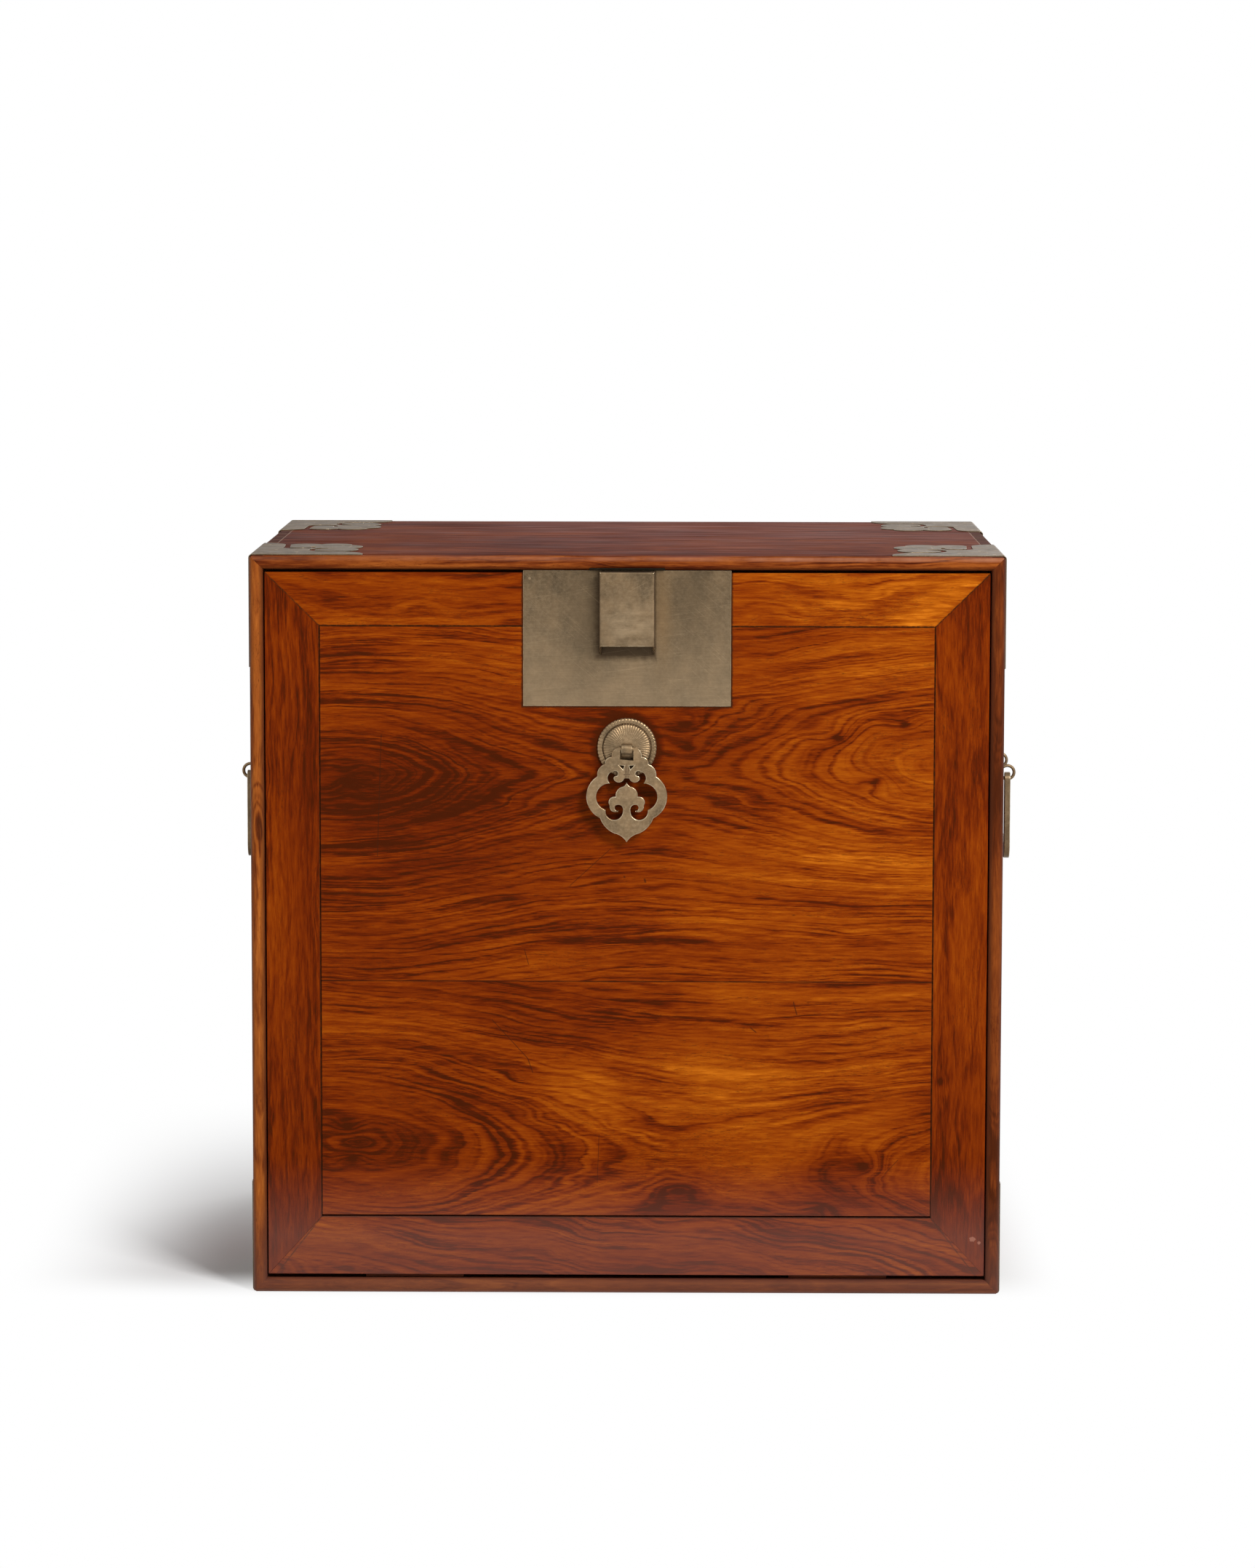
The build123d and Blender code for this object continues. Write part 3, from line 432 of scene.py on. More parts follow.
def dust_and_painted_edge_light(place, colour):
    """The top's dust, with a painted highlight along the upper round of its front edge and painted
    shade under it.
    """
    front = rescale(place["y"], CASE_LOW.y + 3.2, CASE_LOW.y + 2.2)
    high = times(rescale(place["z"], CASE_HIGH.z - 3.4, CASE_HIGH.z - 2.0),
                 rescale(place["z"], CASE_HIGH.z - 0.4, CASE_HIGH.z - 1.0))
    # Where the painted highlight shows along the edge.
    worn = rescale(face_cloud(place, "x", (40.0,), 5.0, 4.0, 0.65), 0.40, 0.64, 0.25, 0.95)
    worn = times(worn, rescale(place["x"], -150.0, 120.0, 0.30, 1.0))
    colour = dusty_joint(place, dusty_top(place, colour))
    colour = coated(colour, times(front, high, worn), PAINTED_EDGE_HIGHLIGHT)
    # Painted shade under the front edge's round.
    under = rescale(place["z"], CASE_HIGH.z - 5.8, CASE_HIGH.z - 7.8, 0.0, 0.75)
    return coated(colour, times(under, front), SHADED_WOOD)


def grey_and_reflecting_foot(place, colour):
    """The case is greyed round its foot, partly scuffed and partly as a painted reflection of the
    pale floor.
    """
    return coated(colour, rescale(place["z"], 60.0, 4.0, 0.0, 0.55), GREY_SCUFF_AND_FLOOR_REFLECTION)


def dry_ends(place):
    """End grain soaks up the wax and stays dull."""
    return rescale(place["z"], CASE_HIGH.z - 1.6, CASE_HIGH.z - 0.6)


def case_dirt_and_rim_shade(place, colour):
    """The side boards' tails show dark end grain on top. Both edges of their rounded fronts are
    darkened, partly by old wax gathered there and partly as painted shade on the round's flanks."""
    colour = coated(colour, times(dry_ends(place), 0.85), END_GRAIN)
    aside = unsigned(place["x"])
    front = rescale(place["y"], CASE_LOW.y + 9.0, CASE_LOW.y + 8.0)
    inner = rescale(aside, CASE_HIGH.x - 5.0, CASE_HIGH.x - 7.6, 0.0, 0.80)
    outer = rescale(aside, CASE_HIGH.x - 2.0, CASE_HIGH.x - 0.2, 0.0, 0.60)
    # Old wax and painted shade along both edges of the rounded fronts.
    colour = coated(colour, times(largest(inner, outer), front), OLD_WAX_AND_RIM_SHADE)
    return grey_and_reflecting_foot(place, colour)


top_finish = rosewood("waxed_rosewood_top", "xyz", wandering_rings(-40.0, 24.0), CASE_PALETTE,
                      2.0, 0.37, 1.1, waxed_and_lit_front, dust_and_painted_edge_light, rough=(0.55, 0.75), shine=0.01)
bottom_finish = rosewood("waxed_rosewood_bottom", "xyz", wandering_rings(60.0, 30.0),
                         CASE_PALETTE, 4.0, 0.51, 0.9, dirt_and_light=grey_and_reflecting_foot)
left_side_finish = rosewood("waxed_rosewood_left_side", "zyx", wandering_rings(-20.0, 250.0),
                            CASE_PALETTE, 6.0, 0.47, 1.0, waxed_and_lit_front, case_dirt_and_rim_shade, dry_ends)
right_side_finish = rosewood("waxed_rosewood_right_side", "zyx", wandering_rings(30.0, -190.0),
                             CASE_PALETTE, 8.0, 0.37, 1.0, dirt_and_light=case_dirt_and_rim_shade, dull=dry_ends)
for node, finish in (("top_board", top_finish), ("bottom_board", bottom_finish),
                     ("left_side_board", left_side_finish), ("right_side_board", right_side_finish)):
    eased_copy(node, CASE_EASE, finish)


# Inside are two thin back boards let into grooves, a shelf in two housings, and three strips
# that stop the door. They are a plainer, unwaxed wood, sawn and planed but never polished.
INNER_EASE = 0.0005
INNER_PALETTE = [
    (0.00, (0.095, 0.030, 0.011)),
    (0.40, (0.205, 0.074, 0.028)),
    (0.75, (0.310, 0.125, 0.050)),
    (1.00, (0.400, 0.180, 0.080)),
]


def plain_wood(name, axes, rings, seed, tone, contrast):
    return rosewood(name, axes, rings, INNER_PALETTE, seed, tone, contrast,
                    rough=(0.62, 0.80), shine=0.15)


shelf_finish = plain_wood("plain_wood_shelf", "xyz", wandering_rings(10.0, -190.0), 12.0, 0.51, 0.6)
back_finish = plain_wood("plain_wood_back", "xzy", wandering_rings(150.0, -90.0), 14.0, 0.46, 0.7)
upper_back_finish = plain_wood("plain_wood_upper_back", "xzy", wandering_rings(420.0, -60.0),
                               18.0, 0.57, 0.7)
strip_finish = plain_wood("plain_wood_side_strip", "zyx", wandering_rings(-120.0, 230.0), 16.0, 0.51, 0.6)
for node, finish in (("shelf", shelf_finish), ("lower_back_board", back_finish),
                     ("upper_back_board", upper_back_finish), ("left_door_stop", strip_finish),
                     ("right_door_stop", strip_finish), ("top_door_stop", back_finish)):
    eased_copy(node, INNER_EASE, finish)


# The door's frame is two stiles and two rails, mitred at the corners and tenoned behind the
# mitre. It is the best of the rosewood, with flowing dark streaks, and waxed to a low shine.
DOOR_EASE = 0.0004
DOOR_PALETTE = [
    (0.00, (0.045, 0.0040, 0.0010)),
    (0.20, (0.108, 0.0088, 0.0010)),
    (0.40, (0.190, 0.0235, 0.0011)),
    (0.60, (0.268, 0.0450, 0.0017)),
    (0.75, (0.350, 0.0740, 0.0025)),
    (0.90, (0.490, 0.1220, 0.0050)),
    (1.00, (0.620, 0.1820, 0.0100)),
]
DIRT = (0.022, 0.006, 0.003)
DULLED_WAX_AND_FLOOR_REFLECTION = (0.170, 0.078, 0.066)
CHIPPED_WOOD = (0.420, 0.190, 0.135)
FRAME_LIP = 4.0
STILE_LOW, STILE_HIGH = box_in_millimetres("right_stile")
PANEL_HIGH = box_in_millimetres("upper_panel_board")[1]
LOCK_LOW, LOCK_HIGH = box_in_millimetres("lock_plate")
DOOR_TOP = box_in_millimetres("top_rail")[1].z
DOOR_BOTTOM, JOINT_BOTTOM = (corner.z for corner in box_in_millimetres("bottom_rail"))
JOINT_X = PANEL_HIGH.x - FRAME_LIP
JOINT_TOP = PANEL_HIGH.z - FRAME_LIP


def joint_line(place, colour):
    """Old wax and dirt in the joint round the panel, a dark hairline with gaps in it."""
    aside = less(unsigned(place["x"]), JOINT_X)
    above = less(place["z"], (JOINT_TOP + JOINT_BOTTOM) / 2)
    above = less(unsigned(above), (JOINT_TOP - JOINT_BOTTOM) / 2)
    off = unsigned(largest(aside, above))
    broken = rescale(face_cloud(place, "xz", (2.5, 2.5), 9.0), 0.35, 0.55, 0.55, 1.0)
    return coated(colour, times(rescale(off, 0.75, 0.25), broken), DIRT)


def mitre_lines(place, colour):
    """A dark hairline along each of the frame's four mitres."""
    aside = less(unsigned(place["x"]), JOINT_X)
    wide = STILE_HIGH.x - JOINT_X
    lines = []
    for beyond, tall in ((less(place["z"], JOINT_TOP), DOOR_TOP - JOINT_TOP),
                         (less(JOINT_BOTTOM, place["z"]), JOINT_BOTTOM - DOOR_BOTTOM)):
        length = math.hypot(wide, tall)
        off = less(times(aside, tall / length), times(beyond, wide / length))
        line = rescale(unsigned(off), 0.55, 0.15)
        lines.append(times(line, rescale(beyond, 0.0, 0.5)))
    broken = rescale(face_cloud(place, "xz", (3.0, 3.0), 6.0), 0.35, 0.55, 0.35, 0.90)
    return coated(colour, times(largest(*lines), broken), DIRT)


def lock_line(place, colour):
    """The same dirt in a ragged line round the lock plate, which is let into the wood."""
    aside = less(unsigned(place["x"]), LOCK_HIGH.x)
    off = largest(aside, less(LOCK_LOW.z, place["z"]))
    ragged = times(face_cloud(place, "xz", (1.6, 1.6), 7.0, 2.0, 0.6), 1.5)
    share = rescale(less(off, ragged), 0.5, -0.1)
    return coated(colour, times(share, 0.85), DIRT)


def dulled_and_reflecting_foot(place, colour):
    """The dark lines show on the door's face only. Over the lowest part of the door lies a
    greyed veil, partly wax dulled by hands and mops and partly a painted reflection of the pale
    floor."""
    lined = lock_line(place, mitre_lines(place, joint_line(place, colour)))
    face = rescale(place["y"], STILE_LOW.y + 1.7, STILE_LOW.y + 1.3)
    colour = mixed(colour, face, lined)
    # The veil: dulled wax and a painted reflection of the floor.
    low = calc("POWER", rescale(place["z"], 82.0, 34.0), 1.6)
    return coated(colour, times(low, 0.44), DULLED_WAX_AND_FLOOR_REFLECTION)


def pale_end(place, value):
    """The top rail brightens from the lock to its right-hand end."""
    return plus(value, rescale(place["x"], 20.0, 190.0, 0.0, 0.46))


def patched(place, value, patches):
    """value changed in soft patches, each a middle, a reach each way and an amount."""
    for middle, reach, amount in patches:
        value = raised(value, spot_mask(place, middle, reach), amount)
    return value


STILE_KNOT = (((184.5, 127.0), (5.0, 7.0), -0.14), ((184.5, 127.0), (1.6, 2.0), -0.50))
CHIPS = (((204.2, 32.7), (2.5, 2.0)), ((208.2, 30.6), (1.5, 1.5)))


def stile_knot(place, value):
    """The right stile has one pin knot low down, beside the panel."""
    return patched(place, value, STILE_KNOT)


def chipped_corner(place, colour):
    """Two small chips at the right stile's foot have lost their polish."""
    broken = face_cloud(place, "xz", (2.2, 1.6), 8.0, 2.0, 0.6)
    colour = dulled_and_reflecting_foot(place, colour)
    for middle, reach in CHIPS:
        chip = times(spot_mask(place, middle, reach), broken)
        colour = coated(colour, rescale(chip, 0.28, 0.36, 0.0, 0.55), CHIPPED_WOOD)
    return colour


left_stile_finish = rosewood("waxed_rosewood_left_stile", "zxy", wandering_rings(-300.0, 40.0, 5.0),
                             DOOR_PALETTE, 21.0, 0.37, 0.7, dirt_and_light=dulled_and_reflecting_foot)
right_stile_finish = rosewood("waxed_rosewood_right_stile", "zxy", wandering_rings(240.0, 22.0, 8.0),
                              DOOR_PALETTE, 23.0, 0.36, 0.65, stile_knot, chipped_corner)
top_rail_finish = rosewood("waxed_rosewood_top_rail", "xzy", wandering_rings(350.0, 26.0),
                           DOOR_PALETTE, 25.0, 0.48, 1.0, pale_end, dulled_and_reflecting_foot)
bottom_rail_finish = rosewood("waxed_rosewood_bottom_rail", "xzy",
                              wandering_rings(-90.0, 30.0, slant=0.17),
                              DOOR_PALETTE, 27.0, 0.45, 1.6, dirt_and_light=dulled_and_reflecting_foot)
for node, finish in (("left_stile", left_stile_finish), ("right_stile", right_stile_finish),
                     ("top_rail", top_rail_finish), ("bottom_rail", bottom_rail_finish)):
    eased_copy(node, DOOR_EASE, finish)


# The door's panel is two wide boards glued edge to edge, with their figure matched: nested
# arcs round an eye at the left edge, and knots on the right. Its tongue sits in the frame.
# Each knot has a middle, a reach across and up, and how far it bends the rings round it.
UPPER_KNOTS = [
    ((36.0, 324.0), (15.0, 7.0), 5.0), ((34.0, 338.0), (14.0, 6.0), 3.5),
    ((123.0, 330.0), (15.0, 8.0), 6.0), ((146.0, 305.0), (12.0, 7.0), 6.0),
    ((162.0, 338.0), (12.0, 7.0), 5.0), ((-163.0, 303.0), (9.0, 9.0), 7.0),
]
LOWER_KNOTS = [
    ((31.0, 61.0), (16.0, 8.0), 6.0), ((140.0, 76.0), (14.0, 9.0), 7.0),
    ((114.0, 51.0), (12.0, 6.0), 5.0), ((-164.0, 99.0), (10.0, 6.0), 6.0),
    ((-161.0, 80.0), (10.0, 5.0), 5.0),
]
UPPER_PATCHES = [
    ((150.0, 375.0), (90.0, 45.0), 0.20), ((110.0, 245.0), (130.0, 50.0), 0.20),
    ((-130.0, 300.0), (70.0, 38.0), -0.24), ((-70.0, 240.0), (100.0, 50.0), -0.12),
    ((0.0, 310.0), (90.0, 34.0), -0.12),
]
LOWER_PATCHES = [
    ((20.0, 110.0), (110.0, 32.0), 0.28), ((-140.0, 88.0), (46.0, 26.0), -0.20),
    ((118.0, 66.0), (46.0, 20.0), -0.20), ((28.0, 56.0), (28.0, 12.0), -0.26),
    ((-70.0, 56.0), (55.0, 14.0), 0.10),
]
UPPER_SCRATCHES = [
    ((-143.5, 331.0), (-146.0, 259.6), 0.35), ((-9.4, 264.4), (-33.0, 242.8), 0.30),
    ((-1.5, 248.0), (-1.2, 247.6), 0.75), ((10.5, 246.4), (10.9, 244.9), 0.80),
    ((-60.0, 205.0), (-57.5, 196.0), 0.35),
]
LOWER_SCRATCHES = [
    ((98.0, 173.9), (100.0, 166.5), 0.50), ((-79.0, 163.0), (-58.0, 140.0), 0.35),
    ((-58.0, 140.0), (-55.0, 131.5), 0.40), ((73.0, 158.5), (76.0, 156.0), 0.55),
    ((160.0, 80.0), (152.5, 72.0), 0.30), ((-16.0, 95.0), (-17.0, 66.0), 0.25),
]
SCRATCH_DARK = (0.030, 0.006, 0.003)
GLUE_SEAM = box_in_millimetres("lower_panel_board")[1].z
PULL_LOW, PULL_HIGH = box_in_millimetres("pull_rosette")
PULL_HEIGHT = (PULL_LOW.z + PULL_HIGH.z) / 2


def nested_arcs(left, right, flatness, knots):
    """Rings that open to both ends of a board round a point near each end, bent round its knots."""
    span = right[0] - left[0]
    rise = (right[1] - left[1]) / span
    swell = flatness * span / math.pi

    def rings(grain, place, seed):
        forward = less(place["x"], left[0])
        aside = less(place["z"], raised(left[1], forward, rise))
        turn = times(forward, math.pi / span)
        along = times(calc("SINE", turn), swell)
        return patched(place, distance(aside, along), knots)
    return rings


def knot_hearts(place, value, knots):
    """A small knot is dark at its heart, with redder wood round it."""
    for middle, reach, _ in knots:
        heart = tuple(size * 0.24 for size in reach)
        value = patched(place, value, ((middle, reach, -0.10), (middle, heart, -0.55)))
    return value


def upper_tone(place, value):
    """The upper board is palest at the right of the lock, and redder towards the lower left. A
    dark ring round the pull's backplate is partly wax and dirt gathered there and partly its
    painted shadow."""
    value = patched(place, value, UPPER_PATCHES)
    value = knot_hearts(place, value, UPPER_KNOTS)
    # Dark ring round the backplate: wax, dirt and painted shadow.
    off = distance(place["x"], less(place["z"], PULL_HEIGHT))
    return raised(value, rescale(off, PULL_HIGH.x + 5.0, PULL_HIGH.x), -0.45)


def lower_tone(place, value):
    """The lower board is palest in its middle, with dark patches at the knots below."""
    value = patched(place, value, LOWER_PATCHES)
    return knot_hearts(place, value, LOWER_KNOTS)


def scratched(place, colour, scratches):
    """Thin dark scratches on the door, each from one point to another and half its width."""
    for start, end, half in scratches:
        run = (end[0] - start[0], end[1] - start[1])
        square = run[0] ** 2 + run[1] ** 2
        aside = less(place["x"], start[0])
        above = less(place["z"], start[1])
        along = plus(times(aside, run[0] / square), times(above, run[1] / square))
        along = rescale(along, 0.0, 1.0)
        aside = raised(aside, along, -run[0])
        above = raised(above, along, -run[1])
        share = rescale(distance(aside, above), half, half * 0.3, 0.0, 0.75)
        colour = coated(colour, share, SCRATCH_DARK)
    return colour


def glue_line(place, colour):
    """A dark hairline shows here and there where the two boards meet."""
    off = unsigned(less(place["z"], GLUE_SEAM))
    broken = rescale(face_cloud(place, "x", (26.0,), 17.0), 0.36, 0.60, 0.30, 0.85)
    return coated(colour, times(rescale(off, 0.65, 0.20), broken), SCRATCH_DARK)


def panel_wear(scratches):
    """What lies over one board of the panel: its scratches, the glue line and the foot's veil of
    dulled wax and painted floor reflection.
    """
    def wear(place, colour):
        colour = scratched(place, colour, scratches)
        return dulled_and_reflecting_foot(place, glue_line(place, colour))
    return wear


upper_finish = rosewood("waxed_rosewood_upper_panel", "xzy",
                        nested_arcs((-161.0, 307.0), (182.0, 316.0), 0.42, UPPER_KNOTS),
                        DOOR_PALETTE, 31.0, 0.49, 1.15, upper_tone, panel_wear(UPPER_SCRATCHES))
lower_finish = rosewood("waxed_rosewood_lower_panel", "xzy",
                        nested_arcs((-158.0, 90.0), (230.0, 70.0), 0.40, LOWER_KNOTS),
                        DOOR_PALETTE, 33.0, 0.49, 1.15, lower_tone, panel_wear(LOWER_SCRATCHES))
eased_copy("upper_panel_board", DOOR_EASE, upper_finish)
eased_copy("lower_panel_board", DOOR_EASE, lower_finish)


# Two battens cross the panel's back in dovetailed housings and keep it flat. They are the same
# plain wood as the inside, and their ends are tenoned into the rails.
BATTEN_EASE = 0.0004
batten_finish = plain_wood("plain_wood_batten", "zxy", wandering_rings(40.0, 60.0), 35.0, 0.56, 0.6)
for node in ("left_batten", "right_batten"):
    eased_copy(node, BATTEN_EASE, batten_finish)


# The lock is a flat plate of white copper let into the door's face, with a folded hood soldered
# on it. Years of rubbing have left fine scratches and bright edges. Round the hood are brown
# patches and grime, with the hood's painted shadow, and the plate's lower half is painted paler,
# partly kept bright by hands and partly as a painted reflection of the floor.
LOCK_EASE = 0.00025
COPPER = (0.230, 0.150, 0.078)
COPPER_BLOOM = (0.090, 0.062, 0.034)
COPPER_PALE = (0.390, 0.280, 0.165)
COPPER_WORN = (0.480, 0.385, 0.255)
COPPER_BROWN = (0.280, 0.165, 0.070)
GRIME_AND_HOOD_SHADOW = (0.040, 0.022, 0.010)
OLD_GREASE = (0.030, 0.017, 0.008)
HOOD_LOW, HOOD_HIGH = box_in_millimetres("lock_housing")
HOOD_RUB = (2.0, 397.0)
HOOD_SHEET = 0.8
LOCK_NAIL = (-56.8, 422.9)
# The patch left of the hood is partly bloom and partly the hood's painted shadow.
LOCK_PATCHES = [
    ((HOOD_HIGH.x + 5.0, 402.0), (5.0, 30.0), 0.45, COPPER_BROWN),
    ((HOOD_LOW.x - 7.0, 400.0), (12.0, 34.0), 0.60, COPPER_BLOOM),
    ((HOOD_HIGH.x + 22.0, 408.0), (13.0, 26.0), 0.45, COPPER_BLOOM),
]

# Each set of fine scratches has a turn in the face, a length and width in millimetres, and a
# step from the metal's seed.
HAIR_SCRATCHES = ((0.5, 18.0, 0.16, 4.0), (-0.7, 26.0, 0.18, -0.7), (0.15, 34.0, 0.20, 0.15))
HAIR_LEVEL = 0.77


def hair_scratches(here, seed):
    """Straight hair scratches in a few directions of a face that looks forward."""
    marks = []
    for turn, length, width, step in HAIR_SCRATCHES:
        feeds = {"Vector": here, "Rotation": (0.0, turn, 0.0)}
        turned = add_node("Mapping", feeds).outputs[0]
        hairs = cloud(turned, (length, length, width), seed + step, 0.0)
        marks.append(rescale(hairs, HAIR_LEVEL, HAIR_LEVEL + 0.04))
    return largest(*marks)


def white_copper(name, tint, seed, dirt_and_light=None, rough=(0.36, 0.50)):
    """Old white copper: a warm grey brass, dulled in patches and finely scratched."""
    material = empty_material(name)
    here = object_place(material.node_tree)
    haze = cloud(here, (15.0, 15.0, 22.0), seed, 4.0, 0.62)
    fleck = cloud(here, (1.6, 1.6, 1.6), seed + 2.0, 3.0, 0.65)
    brushed = cloud(here, (14.0, 14.0, 0.16), seed + 3.0, 2.0, 0.6)
    smear = cloud(here, (9.0, 9.0, 9.0), seed + 6.0, 3.0)
    base, bloom, pale = (tuple(tint * part for part in metal)
                         for metal in (COPPER, COPPER_BLOOM, COPPER_PALE))
    colour = coated(opaque(base), rescale(haze, 0.35, 0.70), bloom)
    colour = coated(colour, rescale(fleck, 0.40, 0.75, 0.0, 0.35), pale)
    if dirt_and_light:
        colour = dirt_and_light(apart(here), colour)
    colour = coated(colour, rescale(brushed, 0.35, 0.70, 0.0, 0.26), bloom)
    marks = hair_scratches(here, seed)
    colour = coated(colour, times(marks, 0.22), COPPER_PALE)
    height = raised(plus(fleck, brushed), marks, -1.0)
    return finished(material, {
        "Base Color": colour, "Roughness": rescale(smear, 0.3, 0.7, *rough), "Metallic": 0.72,
        "Specular IOR Level": 0.2, "Normal": bumped(height, 0.25, 0.00005),
    })


def worn_copper(name, seed):
    """The same metal where it is rubbed bright along an edge."""
    material = empty_material(name)
    wear = cloud(object_place(material.node_tree), (5.0, 5.0, 5.0), seed, 3.0, 0.6)
    colour = coated(opaque(COPPER), rescale(wear, 0.35, 0.6), COPPER_WORN)
    gloss = rescale(wear, 0.3, 0.7, 0.38, 0.22)
    return finished(material, {"Base Color": colour, "Roughness": gloss, "Metallic": 1.0})


def lock_bloom_and_painted_light(place, colour):
    """Grime beside and under the hood, with the hood's painted shadow, worst on its left where the
    shadow falls, a brown stripe on its right, and a lower half painted paler, partly kept bright by
    hands and partly as a painted reflection of the pale floor. A nail shows at the top left."""
    nail = spot_mask(place, LOCK_NAIL, (0.95, 0.95))
    colour = coated(colour, rescale(nail, 0.20, 0.32, 0.0, 0.70), COPPER_BLOOM)
    colour = coated(colour, rescale(nail, 0.40, 0.55, 0.0, 0.55), COPPER_PALE)
    # The lower half is painted paler: kept bright by hands, and a painted reflection of the floor.
    low = rescale(place["z"], HOOD_HIGH.z, LOCK_LOW.z)
    colour = coated(colour, times(low, 0.42), COPPER_PALE)
    for middle, reach, share, coat in LOCK_PATCHES:
        colour = coated(colour, times(spot_mask(place, middle, reach), share), coat)
    # The hood's painted shadow, with grime, beside and under it and worst on its left.
    beside = less(HOOD_LOW.x, place["x"])
    beyond = less(place["x"], HOOD_HIGH.x)
    under = less(HOOD_LOW.z, place["z"])
    off = largest(beside, times(beyond, 3.0), under)
    ragged = less(face_cloud(place, "xz", (3.0, 3.0), 4.0), 0.5)
    shadow_and_grime = rescale(plus(off, times(ragged, 3.0)), 4.2, 0.2)
    return coated(colour, times(shadow_and_grime, 0.85), GRIME_AND_HOOD_SHADOW)


def hood_bloom(place, colour):
    """The hood is rubbed paler across its middle, and inside it is black with old grease."""
    rubbed = rescale(face_cloud(place, "xz", (14.0, 5.0), 13.0, 3.0, 0.6), 0.35, 0.65, 0.1, 0.75)
    middle = spot_mask(place, HOOD_RUB, (16.0, 13.0))
    colour = coated(colour, times(middle, rubbed), COPPER_PALE)
    front = HOOD_LOW.y + HOOD_SHEET
    wall = HOOD_HIGH.x - HOOD_SHEET
    behind = rescale(place["y"], front - 0.1, front + 0.1)
    within = rescale(unsigned(place["x"]), wall + 0.1, wall - 0.1)
    return coated(colour, times(behind, within), OLD_GREASE)


worn_edge = worn_copper("white_copper_worn_edge", 3.0)
plate_finish = white_copper("white_copper_lock_plate", 0.74, 41.0, lock_bloom_and_painted_light)
housing_finish = white_copper("white_copper_lock_hood", 0.88, 43.0, hood_bloom)
eased_copy("lock_plate", LOCK_EASE, plate_finish, worn_edge)
eased_copy("lock_housing", LOCK_EASE, housing_finish, worn_edge)


# Inside the hood a flat iron bolt slides up into the top board. A white copper tab for the
# finger is riveted to its stud, and two leaf springs hold it by rubbing on the hood's walls.
# A blackened strike plate lines the bolt's mortise.
BOLT_EASE = 0.0002
SPRING_EASE = 0.0001
TAB_EASE = 0.0003
IRON = (0.075, 0.068, 0.062)
RUST = (0.085, 0.038, 0.020)


def dark_iron(name, seed):
    """Oiled iron with thin brown rust in patches."""
    material = empty_material(name)
    rust = cloud(object_place(material.node_tree), (6.0, 6.0, 6.0), seed, 4.0, 0.65)
    rust = rescale(rust, 0.45, 0.65)
    return finished(material, {
        "Base Color": coated(opaque(IRON), rust, RUST), "Metallic": 0.8,
        "Roughness": rescale(rust, 0.0, 1.0, 0.42, 0.72), "Normal": bumped(rust, 0.3, 0.00006),
    })


iron_finish = dark_iron("dark_iron_bolt", 45.0)
tarnished_finish = white_copper("white_copper_tarnished", 0.30, 47.0, rough=(0.55, 0.70))
blackened_finish = white_copper("white_copper_blackened", 0.10, 49.0, rough=(0.70, 0.85))
eased_copy("lock_bolt", BOLT_EASE, iron_finish)
for node in ("left_latch_spring", "right_latch_spring"):
    eased_copy(node, SPRING_EASE, iron_finish)
eased_copy("finger_tab", TAB_EASE, tarnished_finish)
eased_copy("strike_plate", BOLT_EASE, blackened_finish)


# Eight corner mounts of thin white copper sheet are folded over the case's side edges and cut
# in cloud shapes on top and at the sides. Small nails, filed flush, hold them down.
MOUNT_EASE = 0.00015
MOUNT_LOW, MOUNT_HIGH = box_in_millimetres("top_front_right_mount")
MOUNT_NAILS = ((0.40, 0.20), (0.20, 0.40), (0.86, 0.09), (0.09, 0.86), (0.76, 0.76), (0.10, 0.10))
NAIL_REACH = (1.35, 1.35)
NAIL_RING = (0.020, 0.014, 0.009)


def mount_nails(place, colour):
    """Six nails hold each leaf, at shares of its width and length from the case's corner. Their
    heads are pale inside a dark ring."""
    middle = MOUNT_HIGH.z / 2
    wide, long, _ = MOUNT_HIGH - MOUNT_LOW
    off_middle = unsigned(less(place["z"], middle))
    inward = {
        "across": less(MOUNT_HIGH.x, unsigned(place["x"])),
        "along": less(-MOUNT_LOW.y, unsigned(place["y"])),
        "down": less(middle, off_middle),
    }
    spots = []
    for across, along in MOUNT_NAILS:
        for plane in (("across", "along"), ("down", "along")):
            spot = (across * wide, along * long)
            spots.append(spot_mask(inward, spot, NAIL_REACH, plane))
    heads = largest(*spots)
    colour = coated(colour, rescale(heads, 0.26, 0.36, 0.0, 0.85), NAIL_RING)
    return coated(colour, rescale(heads, 0.44, 0.54, 0.0, 0.80), COPPER_PALE)


mount_finish = white_copper("white_copper_mounts", 0.56, 51.0, mount_nails, rough=(0.50, 0.65))
mount_edge = worn_copper("white_copper_mount_edge", 5.0)
for level in ("top", "bottom"):
    for end in ("front", "rear"):
        for side in ("left", "right"):
            eased_copy(f"{level}_{end}_{side}_mount", MOUNT_EASE, mount_finish, mount_edge)


# The pull's backplate is a round sheet hammered up in two tiers, a rim and a cone, each chased
# with close ribs that end in a scalloped edge. The grooves between them are darkened, partly by
# dirt that has stayed there and partly as painted shade.
ROSETTE_RIBS = 52
ROSETTE_TIERS = [
    (1.000, 0.00, 0.014), (1.000, 0.22, 0.018), (0.992, 0.36, 0.018), (0.965, 0.44, 0.015),
    (0.920, 0.46, 0.010), (0.850, 0.42, 0.008), (0.818, 0.38, 0.006), (0.806, 0.34, 0.004),
    (0.800, 0.36, 0.016), (0.797, 0.54, 0.022), (0.786, 0.66, 0.022), (0.755, 0.72, 0.017),
    (0.640, 0.78, 0.011), (0.480, 0.86, 0.008), (0.330, 0.93, 0.005), (0.215, 0.98, 0.003),
    (0.170, 1.00, 0.000),
]
TIER_STEP = 0.808
ROSETTE_STEPS = 8
